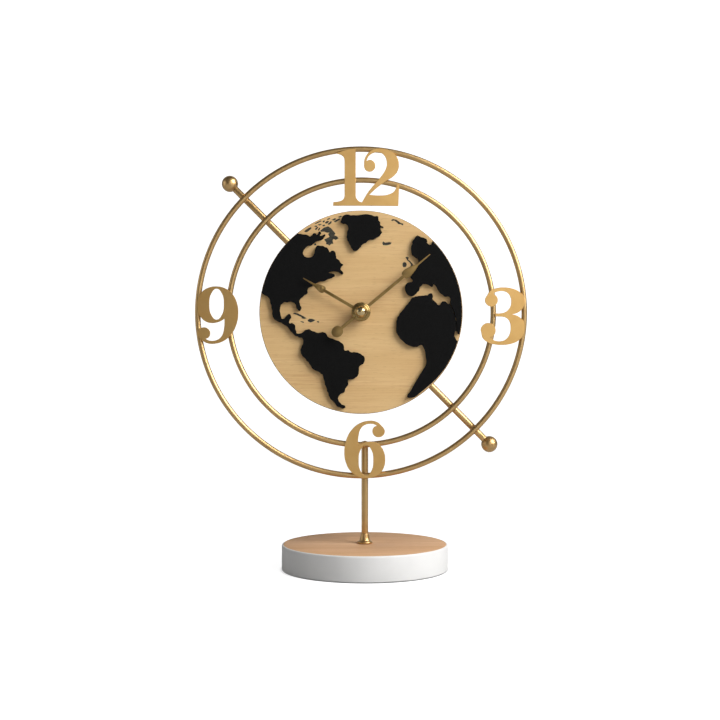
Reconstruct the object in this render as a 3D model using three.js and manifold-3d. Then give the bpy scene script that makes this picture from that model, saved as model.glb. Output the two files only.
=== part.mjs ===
// Table clock: a wood dial with a raised map inside two wire rings, on a post and a round base.
// Millimetres, +Z up, front towards -Y, origin on the table under the middle of the rings.
import * as THREE from "three";
import { mergeVertices } from "three/addons/utils/BufferGeometryUtils.js";
import Module from "manifold-3d";

const wasm = await Module();
wasm.setup();

// Base and post. The post is welded a little to the right of the rings' middle.
const BASE_DIAMETER = 148;
const BASE_HEIGHT = 22.5;
const BASE_FOOT_ROUND = 1.5;
const BASE_TOP_ROUND = 0.6;
const BASE_RIM = 1.4;
const INLAY_THICKNESS = 2;
const PAD_THICKNESS = 1.5;
const PAD_INSET = 7;
const PAD_PROUD = 0.5;
const POST_DIAMETER = 6;
const POST_EXPOSED = 58.5;
const POST_OFFSET = 3.4;
const POST_SOCKET = 10;
const COLLAR_FOOT_DIAMETER = 13.6;
const COLLAR_HEIGHT = 9;
const COLLAR_FOOT_EDGE = 1.2;
const COLLAR_NECK_WALL = 0.7;
const POST_SCREW_DIAMETER = 4;
const POST_SCREW_GRIP = 8;
const POST_SCREW_HEAD = 8;
const POST_SCREW_HEAD_HEIGHT = 2.6;
const POST_WASHER_DIAMETER = 14;
const POST_WASHER_THICKNESS = 1;
const SCREW_POCKET_DEPTH = 5;

// Ring frame and numerals
const RING_WIRE = 5;
const OUTER_RING_DIAMETER = 290;
const RING_SPACING = 27.5;
const NUMERAL_THICKNESS = 1.2;
const NUMERAL_CLEARANCE = 4;
const NUMERAL_12_SHIFT = 4.5;
const NUMERAL_3_SHIFT = -3.5;
const NUMERAL_6_SHIFT = 3.3;
const NUMERAL_6_DROP = 2;
const NUMERAL_9_SHIFT = -2.6;

// Diagonal rod
const ROD_DIAMETER = 6;
const ROD_ANGLE = 134.9;
const ROD_OFFSET = 1.75;
const ROD_INNER_GAP = 9;
const FINIAL_DIAMETER = 14.5;
const FINIAL_OVERHANG = 19;
const BRACKET_LENGTH = 40;
const BRACKET_WIDTH = 16;
const BRACKET_THICKNESS = 1.5;
const BRACKET_SCREW_SPACING = 28;
const BRACKET_SCREW_DIAMETER = 2.9;
const BRACKET_SCREW_HEAD = 5.6;
const BRACKET_SCREW_HEAD_HEIGHT = 1.7;
const BRACKET_SCREW_BITE = 3.6;

// Dial and map
const DIAL_DIAMETER = 180;
const DIAL_THICKNESS = 5;
const DIAL_EDGE = 0.5;
const MAP_THICKNESS = 3;
const MAP_MARGIN = 1.8;

// Hands, at the time shown: clockwise from 12, in degrees
const HAND_THICKNESS = 0.8;
const HAND_CLEARANCE = 1.6;
const HAND_STEM_WIDTH = 2.7;
const HAND_BOSS_DIAMETER = 10;
const HAND_TIP_WIDTH = 0.9;
const MINUTE_ANGLE = 50.2;
const MINUTE_LENGTH = 79;
const MINUTE_BLADE_START = 48.5;
const MINUTE_BLADE_WIDEST = 53;
const MINUTE_BLADE_END = 65;
const MINUTE_BLADE_WIDTH = 8;
const MINUTE_TAIL_REACH = 27;
const MINUTE_TAIL_LENGTH = 10.8;
const MINUTE_TAIL_WIDTH = 9.6;
const HOUR_ANGLE = 300.3;
const HOUR_LENGTH = 59;
const HOUR_BLADE_START = 37;
const HOUR_BLADE_WIDEST = 40.2;
const HOUR_BLADE_END = 48.5;
const HOUR_BLADE_WIDTH = 6.6;
const CAP_DIAMETER = 16.7;
const CAP_RIM_HEIGHT = 1.2;
const CAP_SLOPE_HEIGHT = 3.2;
const CAP_DOME_DIAMETER = 9.6;
const CAP_DOME_HEIGHT = 3.6;
const CAP_GRIP = 3;

// Movement housing and battery
const CASE_WALL = 1.4;
const CASE_CORNER = 3;
const COVER_THICKNESS = 1.5;
const GASKET_THICKNESS = 0.6;
const GASKET_DIAMETER = 20;
const SPIGOT_DIAMETER = 8;
const SPIGOT_PROUD = 0.6;
const DIAL_WASHER_DIAMETER = 15;
const DIAL_WASHER_THICKNESS = 0.6;
const NUT_ACROSS_FLATS = 12;
const NUT_HEIGHT = 2.5;
const BATTERY_DIAMETER = 14.2;
const BATTERY_LENGTH = 50.5;
const BATTERY_NUB_DIAMETER = 5.4;
const BATTERY_NUB_LENGTH = 1.2;
const BATTERY_CLEARANCE = 0.3;
const CONTACT_THICKNESS = 0.4;
const CONTACT_WIDTH = 9;
const CONTACT_SPRING = 1.2;

// Wheels: pinion leaves and wheel teeth of each mesh, from the motor to the hour hand
const ROTOR_LEAVES = 6;
const INTERMEDIATE_TEETH = 30;
const INTERMEDIATE_LEAVES = 6;
const SECONDS_TEETH = 36;
const SECONDS_LEAVES = 6;
const THIRD_TEETH = 45;
const THIRD_LEAVES = 6;
const CENTRE_TEETH = 48;
const CANNON_LEAVES = 10;
const MINUTE_TEETH = 30;
const MINUTE_LEAVES = 8;
const HOUR_TEETH = 32;
const SETTING_LEAVES = 10;
const TOOTH_MODULE = 0.37;
const WHEEL_THICKNESS = 1.2;
const LEVEL_GAP = 0.5;
const WHEEL_CLEARANCE = 0.6;
const ARBOR_DIAMETER = 1;
const PIVOT_DIAMETER = 0.7;
const PIVOT_DEPTH = 0.9;
const CENTRE_ARBOR_DIAMETER = 2.6;
const HOUR_PIPE_WALL = 0.8;
const SETTING_SHAFT_DIAMETER = 2.4;
const SETTING_KNOB_DIAMETER = 12;
const SETTING_KNOB_HEIGHT = 3.5;
const SETTING_KNOB_FLUTES = 12;
const THIRD_DIRECTION = 120;
const INTERMEDIATE_DIRECTION = 35;
const ROTOR_DIRECTION = 80;
const MINUTE_WHEEL_DIRECTION = 0;
const SETTING_DIRECTION = -20;

// Motor and electronics
const ROTOR_MAGNET_DIAMETER = 4.6;
const STATOR_BORE_GAP = 0.5;
const STATOR_THICKNESS = 0.8;
const STATOR_ARM_WIDTH = 3;
const COIL_DIAMETER = 5.4;
const COIL_LENGTH = 22;
const COIL_CHEEK = 1;
const COIL_CHEEK_HEIGHT = 0.5;
const COIL_CORE_WIDTH = 2;
const COIL_CORE_THICKNESS = 1;
const COIL_CORE_OVERHANG = 3.4;
const BOARD_WIDTH = 9;
const BOARD_LENGTH = 22;
const BOARD_THICKNESS = 1;
const CHIP_DIAMETER = 6;
const CHIP_HEIGHT = 1.1;
const CRYSTAL_DIAMETER = 2;
const CRYSTAL_LENGTH = 6;

// Fits
const SEAT_GAP = 0.15;
const RUNNING_CLEARANCE = 0.15;

const DEGREE = Math.PI / 180;
const MANY_SIDES = 36;
const SOME_SIDES = 16;
const FEW_SIDES = 8;

// Materials
const paint = (color, roughness, metalness) => new THREE.MeshStandardMaterial({ color, roughness, metalness });
const goldPlate = paint(0xb08a4e, 0.35, 1);
const polishedBrass = paint(0xb59a55, 0.2, 1);
const wheelBrass = paint(0xc9a85c, 0.3, 1);
const whiteLacquer = paint(0xf2f1ee, 0.45, 0);
const woodVeneer = paint(0xd9b988, 0.6, 0);
const blackBoard = paint(0x1c1b1a, 0.7, 0);
const blackPlastic = paint(0x17181a, 0.5, 0);
const whitePlastic = paint(0xe6e4dc, 0.5, 0);
const zincSteel = paint(0xb9bcc0, 0.35, 1);
const blackRubber = paint(0x202020, 0.85, 0);
const greyFelt = paint(0x55524e, 0.95, 0);
const copperWire = paint(0xa8562e, 0.4, 1);
const boardGreen = paint(0x1d5a3a, 0.55, 0);
const batteryWrap = paint(0x3c4650, 0.4, 0.2);
const magnetGrey = paint(0x3a3a3d, 0.5, 0.3);

// A closed solid for joining and cutting, from a geometry's positions alone.
function solidOf(geometry) {
  const bare = geometry.clone();
  for (const name of Object.keys(bare.attributes)) {
    if (name !== "position") bare.deleteAttribute(name);
  }
  const merged = mergeVertices(bare, 1e-4);
  const corners = merged.index.array;
  const kept = [];
  for (let i = 0; i < corners.length; i += 3) {
    const [a, b, c] = [corners[i], corners[i + 1], corners[i + 2]];
    if (a !== b && b !== c && c !== a) kept.push(a, b, c);
  }
  const vertProperties = new Float32Array(merged.attributes.position.array);
  return new wasm.Manifold(new wasm.Mesh({ numProp: 3, vertProperties, triVerts: new Uint32Array(kept) }));
}

function geometryOf(solid) {
  const { vertProperties, triVerts } = solid.getMesh();
  const geometry = new THREE.BufferGeometry();
  geometry.setAttribute("position", new THREE.BufferAttribute(new Float32Array(vertProperties), 3));
  geometry.setIndex(new THREE.BufferAttribute(new Uint32Array(triVerts), 1));
  geometry.computeVertexNormals();
  return geometry;
}

const join = (first, ...others) =>
  geometryOf(others.reduce((sum, other) => sum.add(solidOf(other)), solidOf(first)));
const cut = (first, ...tools) =>
  geometryOf(tools.reduce((rest, tool) => rest.subtract(solidOf(tool)), solidOf(first)));

// A flat piece of one thickness, standing on its back face.
const plate = (shape, thickness, curveSegments = 4) =>
  new THREE.ExtrudeGeometry(shape, { depth: thickness, bevelEnabled: false, curveSegments });

// A body turned about Z. The profile lists [radius, height] and runs up the outside.
function turned(profile, sides, closed = false) {
  const points = profile.map(([radius, height]) => new THREE.Vector2(radius, height));
  if (closed) points.push(points[0].clone());
  return geometryOf(solidOf(new THREE.LatheGeometry(points, sides).rotateX(Math.PI / 2)));
}

// Points of a quarter turn about a centre, for rounded edges in a profile.
function roundedEdge(centreRadius, centreHeight, round, fromDegrees, toDegrees, steps) {
  return Array.from({ length: steps + 1 }, (_, i) => {
    const angle = (fromDegrees + (toDegrees - fromDegrees) * i / steps) * DEGREE;
    return [centreRadius + round * Math.cos(angle), centreHeight + round * Math.sin(angle)];
  });
}

const rodAlongZ = (diameter, from, to, sides = FEW_SIDES) =>
  new THREE.CylinderGeometry(diameter / 2, diameter / 2, to - from, sides)
    .rotateX(Math.PI / 2)
    .translate(0, 0, (from + to) / 2);

const tubeProfile = (inner, outer, from, to) => [[inner, from], [outer, from], [outer, to], [inner, to]];

const at = (geometry, place) => geometry.translate(place.x, place.y, 0);

const polar = (distance, degrees) =>
  new THREE.Vector2(distance * Math.cos(degrees * DEGREE), distance * Math.sin(degrees * DEGREE));

// A drill through a plate that lies between two heights.
const drill = (diameter, place, from, to, sides) => at(rodAlongZ(diameter, from - 1, to + 1, sides), place);

// A hole to be added to a shape.
function roundHole(diameter, place = new THREE.Vector2()) {
  const hole = new THREE.Path();
  hole.absarc(place.x, place.y, diameter / 2, 0, 2 * Math.PI, true);
  return hole;
}

function roundedRectangle(left, bottom, right, top, corner, path = new THREE.Shape()) {
  path.absarc(right - corner, bottom + corner, corner, -Math.PI / 2, 0);
  path.absarc(right - corner, top - corner, corner, 0, Math.PI / 2);
  path.absarc(left + corner, top - corner, corner, Math.PI / 2, Math.PI);
  path.absarc(left + corner, bottom + corner, corner, Math.PI, 1.5 * Math.PI);
  path.closePath();
  return path;
}

function add(parent, name, geometry, material) {
  const mesh = new THREE.Mesh(geometry, material);
  mesh.name = name;
  parent.add(mesh);
  return mesh;
}

// Heights of the stand, and depths of the clock in front of the rod's axis
const outerRingRadius = OUTER_RING_DIAMETER / 2;
const innerRingRadius = outerRingRadius - RING_SPACING;
const centreHeight = BASE_HEIGHT + POST_EXPOSED + outerRingRadius + RING_WIRE / 2;
const ringDepth = Math.max(ROD_DIAMETER, POST_DIAMETER) / 2 + SEAT_GAP + RING_WIRE / 2;
const numeralBack = ringDepth + RING_WIRE / 2 + SEAT_GAP;
const bracketBack = ROD_DIAMETER / 2 + SEAT_GAP;
const dialBack = bracketBack + BRACKET_THICKNESS + SEAT_GAP;
const dialFront = dialBack + DIAL_THICKNESS;
const mapBack = dialFront + SEAT_GAP;
const dialWasherBack = dialFront + SEAT_GAP;
const nutBack = dialWasherBack + DIAL_WASHER_THICKNESS + SEAT_GAP;
const spigotFront = nutBack + NUT_HEIGHT + SPIGOT_PROUD;
const hourHandBack = Math.max(mapBack + MAP_THICKNESS, spigotFront) + HAND_CLEARANCE;
const minuteHandBack = hourHandBack + HAND_THICKNESS + HAND_CLEARANCE;
const capBack = minuteHandBack + HAND_THICKNESS + SEAT_GAP;

const clock = new THREE.Group();
const stand = new THREE.Group();
stand.position.x = POST_OFFSET;
clock.add(stand);
const front = new THREE.Group();
front.position.z = centreHeight;
front.rotation.x = Math.PI / 2;
clock.add(front);

// Base: a turned disc with recesses for the wood top and the felt pad, a socket for the post and a pocket for
// its screw.
const padRadius = BASE_DIAMETER / 2 - PAD_INSET;
const padCeiling = PAD_THICKNESS + SEAT_GAP;
const padRecessRadius = padRadius + RUNNING_CLEARANCE;
const baseBottom = PAD_PROUD;
const baseRadius = BASE_DIAMETER / 2;
const recessRadius = baseRadius - BASE_RIM;
const inlayBottom = BASE_HEIGHT - INLAY_THICKNESS;
const recessFloor = inlayBottom - SEAT_GAP;
const postBottom = recessFloor - POST_SOCKET;
const socketFloor = postBottom - SEAT_GAP;
const socketRadius = POST_DIAMETER / 2 + RUNNING_CLEARANCE;
const screwHoleRadius = POST_SCREW_DIAMETER / 2 + RUNNING_CLEARANCE;
const pocketRadius = POST_WASHER_DIAMETER / 2 + BASE_RIM;
const pocketCeiling = Math.min(padCeiling + SCREW_POCKET_DEPTH, socketFloor - BASE_RIM);

const baseProfile = [
  [pocketRadius, padCeiling],
  [padRecessRadius, padCeiling],
  [padRecessRadius, baseBottom],
  ...roundedEdge(baseRadius - BASE_FOOT_ROUND, baseBottom + BASE_FOOT_ROUND, BASE_FOOT_ROUND, -90, 0, 3),
  ...roundedEdge(baseRadius - BASE_TOP_ROUND, BASE_HEIGHT - BASE_TOP_ROUND, BASE_TOP_ROUND, 0, 90, 1),
  [recessRadius, BASE_HEIGHT],
  [recessRadius, recessFloor],
  [socketRadius, recessFloor],
  [socketRadius, socketFloor],
  [screwHoleRadius, socketFloor],
  [screwHoleRadius, pocketCeiling],
  [pocketRadius, pocketCeiling],
];
add(stand, "base_body", turned(baseProfile, MANY_SIDES, true), whiteLacquer);

const inlayRadius = recessRadius - RUNNING_CLEARANCE;
const inlayProfile = tubeProfile(socketRadius, inlayRadius, inlayBottom, BASE_HEIGHT);
add(stand, "base_top", turned(inlayProfile, MANY_SIDES, true), woodVeneer);

add(stand, "base_pad", rodAlongZ(2 * padRadius, 0, PAD_THICKNESS, MANY_SIDES), greyFelt);

// Post: a plain rod, tapped from below, that ends behind the inner ring.
const postTop = centreHeight - innerRingRadius + RING_WIRE / 2;
const tappedTop = postBottom + POST_SCREW_GRIP + POST_SCREW_DIAMETER / 2;
const postProfile = [
  [0, tappedTop],
  [screwHoleRadius, tappedTop],
  [screwHoleRadius, postBottom],
  [POST_DIAMETER / 2, postBottom],
  [POST_DIAMETER / 2, postTop],
  [0, postTop],
];
add(stand, "post", turned(postProfile, SOME_SIDES), goldPlate);

// Collar: a bell that flares from the post's neck to its foot on the wood.
function collarProfile() {
  const foot = BASE_HEIGHT + SEAT_GAP;
  const footRadius = COLLAR_FOOT_DIAMETER / 2;
  const neckRadius = socketRadius + COLLAR_NECK_WALL;
  const flare = COLLAR_HEIGHT - COLLAR_FOOT_EDGE;
  const steps = 5;
  const slope = Array.from({ length: steps + 1 }, (_, i) => {
    const rise = i / steps;
    const spread = (1 - rise) ** 2.4;
    return [neckRadius + (footRadius - neckRadius) * spread, foot + COLLAR_FOOT_EDGE + flare * rise];
  });
  return [[socketRadius, foot], [footRadius, foot], ...slope, [socketRadius, foot + COLLAR_HEIGHT]];
}
add(stand, "post_collar", turned(collarProfile(), SOME_SIDES, true), goldPlate);

// Screw and washer that draw the post down into its socket.
const postWasherTop = pocketCeiling - SEAT_GAP;
const postWasherBottom = postWasherTop - POST_WASHER_THICKNESS;
const screwSeat = postWasherBottom - SEAT_GAP;
const postWasherProfile =
  tubeProfile(screwHoleRadius, POST_WASHER_DIAMETER / 2, postWasherBottom, postWasherTop);
add(stand, "post_washer", turned(postWasherProfile, SOME_SIDES, true), zincSteel);
const postScrewProfile = [
  [0, screwSeat - POST_SCREW_HEAD_HEIGHT],
  [POST_SCREW_HEAD / 2 - POST_SCREW_HEAD_HEIGHT / 4, screwSeat - POST_SCREW_HEAD_HEIGHT],
  [POST_SCREW_HEAD / 2, screwSeat - POST_SCREW_HEAD_HEIGHT / 2],
  [POST_SCREW_HEAD / 2, screwSeat],
  [POST_SCREW_DIAMETER / 2, screwSeat],
  [POST_SCREW_DIAMETER / 2, postBottom + POST_SCREW_GRIP],
  [0, postBottom + POST_SCREW_GRIP],
];
add(stand, "post_screw", turned(postScrewProfile, FEW_SIDES), zincSteel);

// Rings: round wire, welded to the front of the post and the diagonal rod.
const ringGeometry = (radius, steps) => new THREE.TorusGeometry(radius, RING_WIRE / 2, 8, steps);
add(front, "outer_ring", ringGeometry(outerRingRadius, 48), goldPlate).position.z = ringDepth;
add(front, "inner_ring", ringGeometry(innerRingRadius, 40), goldPlate).position.z = ringDepth;

// Numerals: sheet figures with hairlines and ball ends, drawn on a grid 100 units high about their middle.
const numeralHeight = outerRingRadius - DIAL_DIAMETER / 2 - NUMERAL_CLEARANCE;
const numeralScale = numeralHeight / 100;
const SIX_HALF_WIDTH = 35.6;
const THREE_HALF_WIDTH = 38.8;

function figure(startX, startY, strokes) {
  const shape = new THREE.Shape();
  shape.moveTo(startX, startY);
  for (const stroke of strokes) {
    if (stroke.length === 2) shape.lineTo(...stroke);
    else shape.bezierCurveTo(...stroke);
  }
  shape.closePath();
  return shape;
}

function ballEnd(x, y, width, height) {
  const shape = new THREE.Shape();
  shape.absellipse(x, y, width / 2, height / 2, 0, 2 * Math.PI);
  return shape;
}

// Sheet of unit thickness on the figure's grid, scaled to the numeral's real height and sheet.
function numeralSheet(...shapes) {
  const sheets = shapes.map((shape) => plate(shape, 1));
  return join(...sheets).scale(numeralScale, numeralScale, NUMERAL_THICKNESS);
}

const oneFigure = () => figure(-18, 49.5, [
  [-25, 49.5],
  [-34, 48, -45, 44, -54, 41.2],
  [-46, 40.5, -37.5, 38, -37.5, 29],
  [-37.5, -32],
  [-38, -40, -44, -42.5, -57, -43],
  [-57.5, -49.5],
  [-4, -49.5],
  [-4, -44.5],
  [-13, -43, -18, -38, -18, -31],
]);

const twoFigure = () => figure(56, -50, [
  [-7, -49.5],
  [-7, -43],
  [4, -20, 22, -6, 30, 7],
  [34.5, 14, 36, 19, 36, 24],
  [36, 34, 30, 43.5, 20, 43.5],
  [10, 43.5, 2.5, 37, 1, 29],
  [4, 24],
  [-3.6, 21],
  [-5.5, 30, 2, 50, 22, 50],
  [44, 50, 57, 38, 57, 21.5],
  [57, 6, 46, 0, 35, -6.5],
  [24, -13.5, 14, -22, 5.5, -30.5],
  [30, -33, 52, -33, 54, -11.5],
  [57.5, -12.5],
]);

const threeFigure = () => figure(-28, 33, [
  [-25, 45, -13, 50, 1, 50],
  [24, 50, 38.4, 40, 38.4, 25],
  [38.4, 13, 29, 4.5, 17, 3.2],
  [30, 1.5, 38.8, -7, 38.8, -20],
  [38.8, -40, 22, -50, -1, -50],
  [-20, -50, -37, -44, -37, -28],
  [-24, -33],
  [-21, -40, -14, -43.5, -5, -43.5],
  [8, -43.5, 14.2, -33, 14.2, -20],
  [14.2, -7, 8, -0.8, -3, -0.8],
  [-12.4, -0.6],
  [-12.4, 4.8],
  [-4, 5],
  [8, 5.5, 15.2, 14, 15.2, 25],
  [15.2, 36, 9, 43.6, -1, 43.6],
  [-9, 43.6, -15, 41, -19, 36],
]);

function sixFigure() {
  const shape = figure(10, 50, [
    [-18, 50, -35.6, 24, -35.6, -4],
    [-35.6, -32, -20, -50, 3, -50],
    [22, -50, 35.6, -38, 35.6, -18],
    [35.6, 2, 24, 13.8, 10, 13.8],
    [2, 13.8, -6, 11, -11.5, 6.2],
    [-11.8, 16, -11.5, 24, -8.4, 33],
    [-5, 41, 2, 44.5, 10, 44.5],
    [15, 44.5, 19, 43, 22, 40],
    [32, 34.5],
    [30.5, 44, 21, 50, 10, 50],
  ]);
  const counter = new THREE.Path();
  counter.absellipse(2.1, -19.1, 12.6, 26.8, 0, 2 * Math.PI, true);
  shape.holes.push(counter);
  return shape;
}

const sixSheet = () => numeralSheet(sixFigure(), ballEnd(24, 31.6, 21.8, 21));

function addNumeral(name, geometry, x, y, turn = 0) {
  const mesh = add(front, name, geometry, goldPlate);
  mesh.position.set(x, y, numeralBack);
  mesh.rotation.z = turn * DEGREE;
}

const numeralReach = outerRingRadius - numeralHeight / 2;
const threeReach = outerRingRadius - THREE_HALF_WIDTH * numeralScale;
const nineReach = outerRingRadius - SIX_HALF_WIDTH * numeralScale;
const twelve = numeralSheet(oneFigure(), twoFigure(), ballEnd(6, 20, 20, 20.6));
const three = numeralSheet(threeFigure(), ballEnd(-19.2, 28, 22.4, 22.4), ballEnd(-24.8, -24.8, 26, 26));
addNumeral("numeral_12", twelve, NUMERAL_12_SHIFT, numeralReach);
addNumeral("numeral_3", three, threeReach, NUMERAL_3_SHIFT);
addNumeral("numeral_6", sixSheet(), NUMERAL_6_SHIFT, -numeralReach - NUMERAL_6_DROP);
addNumeral("numeral_9", sixSheet(), -nineReach, NUMERAL_9_SHIFT, 180);

// Gears: pointed teeth and leaves, each [height in modules, share of the pitch], thin enough for backlash.
const ADDENDUM = 1;
const DEDENDUM = 1.25;
const WHEEL_TOOTH = [[-DEDENDUM, -0.33], [ADDENDUM, 0], [-DEDENDUM, 0.33]];
const PINION_LEAF = [[-DEDENDUM, -0.28], [ADDENDUM * 0.9, 0], [-DEDENDUM, 0.28]];

function gearShape(teeth, module, bore, phase, tooth) {
  const pitchRadius = teeth * module / 2;
  const step = 2 * Math.PI / teeth;
  const corners = [];
  for (let i = 0; i < teeth; i++) {
    for (const [height, share] of tooth) {
      const angle = phase + (i + share) * step;
      const radius = pitchRadius + height * module;
      corners.push(new THREE.Vector2(radius * Math.cos(angle), radius * Math.sin(angle)));
    }
  }
  const shape = new THREE.Shape(corners);
  if (bore > 0) shape.holes.push(roundHole(bore));
  return shape;
}

const wheel = (teeth, module, bore, phase = 0) =>
  plate(gearShape(teeth, module, bore, phase, WHEEL_TOOTH), WHEEL_THICKNESS, FEW_SIDES / 2);
const pinion = (leaves, module, bore, phase, length) =>
  plate(gearShape(leaves, module, bore, phase, PINION_LEAF), length, FEW_SIDES / 2);

// Angle of a tooth on the driven gear that puts a gap where the driver has a tooth. The direction is the one
// from the driver's centre to the driven gear's.
function meshPhase(driverTeeth, driverPhase, drivenTeeth, direction) {
  const line = direction * DEGREE;
  return line + Math.PI - (Math.PI - driverTeeth * (line - driverPhase)) / drivenTeeth;
}

const meshDistance = (first, second, module) => (first + second) * module / 2;
const tipRadius = (teeth, module) => teeth * module / 2 + ADDENDUM * module;

// Wheel centres seen from the front. Third and seconds meshes share one distance, and so do the motion work's.
const centreAt = new THREE.Vector2();
const thirdDistance = meshDistance(THIRD_LEAVES, CENTRE_TEETH, TOOTH_MODULE);
const secondsModule = 2 * thirdDistance / (SECONDS_LEAVES + THIRD_TEETH);
const thirdAt = polar(thirdDistance, THIRD_DIRECTION);
const intermediateDistance = meshDistance(INTERMEDIATE_LEAVES, SECONDS_TEETH, TOOTH_MODULE);
const intermediateAt = polar(intermediateDistance, INTERMEDIATE_DIRECTION);
const rotorDistance = meshDistance(ROTOR_LEAVES, INTERMEDIATE_TEETH, TOOTH_MODULE);
const rotorAt = polar(rotorDistance, ROTOR_DIRECTION).add(intermediateAt);
const minuteDistance = meshDistance(CANNON_LEAVES, MINUTE_TEETH, TOOTH_MODULE);
const hourModule = 2 * minuteDistance / (MINUTE_LEAVES + HOUR_TEETH);
const minuteAt = polar(minuteDistance, MINUTE_WHEEL_DIRECTION);
const settingDistance = meshDistance(SETTING_LEAVES, MINUTE_TEETH, TOOTH_MODULE);
const settingAt = polar(settingDistance, SETTING_DIRECTION).add(minuteAt);

// Housing sizes: wide enough for the battery, tall enough for the battery below and the coil above the wheels.
const bayHeight = BATTERY_DIAMETER + 2 * BATTERY_CLEARANCE;
const contactRoom = CONTACT_THICKNESS + 2 * SEAT_GAP;
const bayLength = BATTERY_LENGTH + CONTACT_SPRING + 2 * contactRoom;
const caseHalfWidth = bayLength / 2 + CASE_WALL;
const centreTip = tipRadius(CENTRE_TEETH, TOOTH_MODULE);
const thirdTop = thirdAt.y + tipRadius(THIRD_TEETH, secondsModule);
const cheekDiameter = COIL_DIAMETER + 2 * COIL_CHEEK_HEIGHT;
const belowAxis = centreTip + WHEEL_CLEARANCE + CASE_WALL + bayHeight + CASE_WALL;
const aboveAxis = thirdTop + 2 * WHEEL_CLEARANCE + cheekDiameter + CASE_WALL;
const caseHalfHeight = Math.max(belowAxis, aboveAxis);
const levelPitch = WHEEL_THICKNESS + LEVEL_GAP;
const levelCount = 7;
const trainDepth = LEVEL_GAP + levelCount * levelPitch + COVER_THICKNESS;
const caseDepth = CASE_WALL + Math.max(trainDepth, bayHeight);
const caseFront = dialBack - GASKET_THICKNESS - 2 * SEAT_GAP;
const roomFront = caseFront - CASE_WALL;
const coverBack = caseFront - caseDepth;
const coverFront = coverBack + COVER_THICKNESS;
const caseBack = coverFront + SEAT_GAP;
const bayBottom = -caseHalfHeight + CASE_WALL;
const bayTop = bayBottom + bayHeight;
const roomBottom = bayTop + CASE_WALL;
const roomTop = caseHalfHeight - CASE_WALL;
const roomHalfWidth = caseHalfWidth - CASE_WALL;

// Each level's back face, counted from the front of the wheel room.
const levelBack = (level) => roomFront - LEVEL_GAP - level * levelPitch - WHEEL_THICKNESS;
const [HOUR_LEVEL, MINUTE_LEVEL, PLATE_LEVEL, CENTRE_LEVEL, THIRD_LEVEL, SECONDS_LEVEL, INTERMEDIATE_LEVEL] =
  Array(levelCount).keys();
const levelFront = (level) => levelBack(level) + WHEEL_THICKNESS;

// Running sizes of the bores
const spread = 2 * RUNNING_CLEARANCE;
const pivotHole = PIVOT_DIAMETER + spread;
const studBore = ARBOR_DIAMETER + spread;
const centreBore = CENTRE_ARBOR_DIAMETER + spread;
const hourPipeDiameter = centreBore + 2 * HOUR_PIPE_WALL;
const spigotBore = hourPipeDiameter + spread;
const settingHole = SETTING_SHAFT_DIAMETER + spread;
const settingPivot = SETTING_SHAFT_DIAMETER - 2 * RUNNING_CLEARANCE;
const pivotBack = coverFront - PIVOT_DEPTH;
const platePivotFront = levelBack(PLATE_LEVEL) + PIVOT_DEPTH;

// Diagonal rod: two halves with ball ends, each welded to a bracket that is screwed to the dial's back.
const caseCornerReach = Math.hypot(caseHalfWidth, caseHalfHeight);
const rodStart = caseCornerReach + ROD_INNER_GAP;
const finialReach = outerRingRadius + FINIAL_OVERHANG;
const bracketReach = rodStart + BRACKET_WIDTH / 2;

function finialGeometry() {
  const ball = new THREE.SphereGeometry(FINIAL_DIAMETER / 2, SOME_SIDES, 8).rotateX(Math.PI / 2);
  const socket = rodAlongZ(ROD_DIAMETER + spread, -FINIAL_DIAMETER, SEAT_GAP, SOME_SIDES);
  return cut(ball, socket);
}

function bracketGeometry() {
  const shape = roundedRectangle(
    -BRACKET_WIDTH / 2, -BRACKET_LENGTH / 2, BRACKET_WIDTH / 2, BRACKET_LENGTH / 2, BRACKET_WIDTH / 4);
  const drills = [-1, 1].map((side) => {
    const place = new THREE.Vector2(0, side * BRACKET_SCREW_SPACING / 2);
    return drill(BRACKET_SCREW_DIAMETER + spread, place, 0, BRACKET_THICKNESS);
  });
  return cut(plate(shape, BRACKET_THICKNESS, 2), ...drills);
}

function bracketScrewGeometry() {
  const head = BRACKET_SCREW_HEAD / 2;
  const shank = BRACKET_SCREW_DIAMETER / 2;
  const tip = BRACKET_THICKNESS + 2 * SEAT_GAP + BRACKET_SCREW_BITE;
  return turned([
    [0, -BRACKET_SCREW_HEAD_HEIGHT],
    [head * 0.7, -BRACKET_SCREW_HEAD_HEIGHT],
    [head, -BRACKET_SCREW_HEAD_HEIGHT / 2],
    [head, 0],
    [shank, 0],
    [shank, tip - shank],
    [0, tip],
  ], FEW_SIDES);
}

const rodAt = polar(ROD_OFFSET, ROD_ANGLE + 90);
const bracketScrewPlaces = [];
for (const [half, turn] of [["upper", 0], ["lower", 180]]) {
  const arm = new THREE.Group();
  arm.rotation.z = (ROD_ANGLE + turn) * DEGREE;
  arm.position.set(rodAt.x, rodAt.y, 0);
  front.add(arm);
  const rod = rodAlongZ(ROD_DIAMETER, rodStart, finialReach, SOME_SIDES).rotateY(Math.PI / 2);
  add(arm, `rod_${half}`, rod, goldPlate);
  const finial = add(arm, `finial_${half}`, finialGeometry().rotateY(Math.PI / 2), goldPlate);
  finial.position.x = finialReach;
  add(arm, `bracket_${half}`, bracketGeometry(), zincSteel).position.set(bracketReach, 0, bracketBack);
  for (const side of [-1, 1]) {
    const along = new THREE.Vector2(bracketReach, side * BRACKET_SCREW_SPACING / 2);
    bracketScrewPlaces.push(along.clone().rotateAround(centreAt, arm.rotation.z).add(rodAt));
    const screw = add(arm, `bracket_screw_${bracketScrewPlaces.length}`, bracketScrewGeometry(), zincSteel);
    screw.position.set(along.x, along.y, bracketBack - SEAT_GAP);
  }
}

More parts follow.
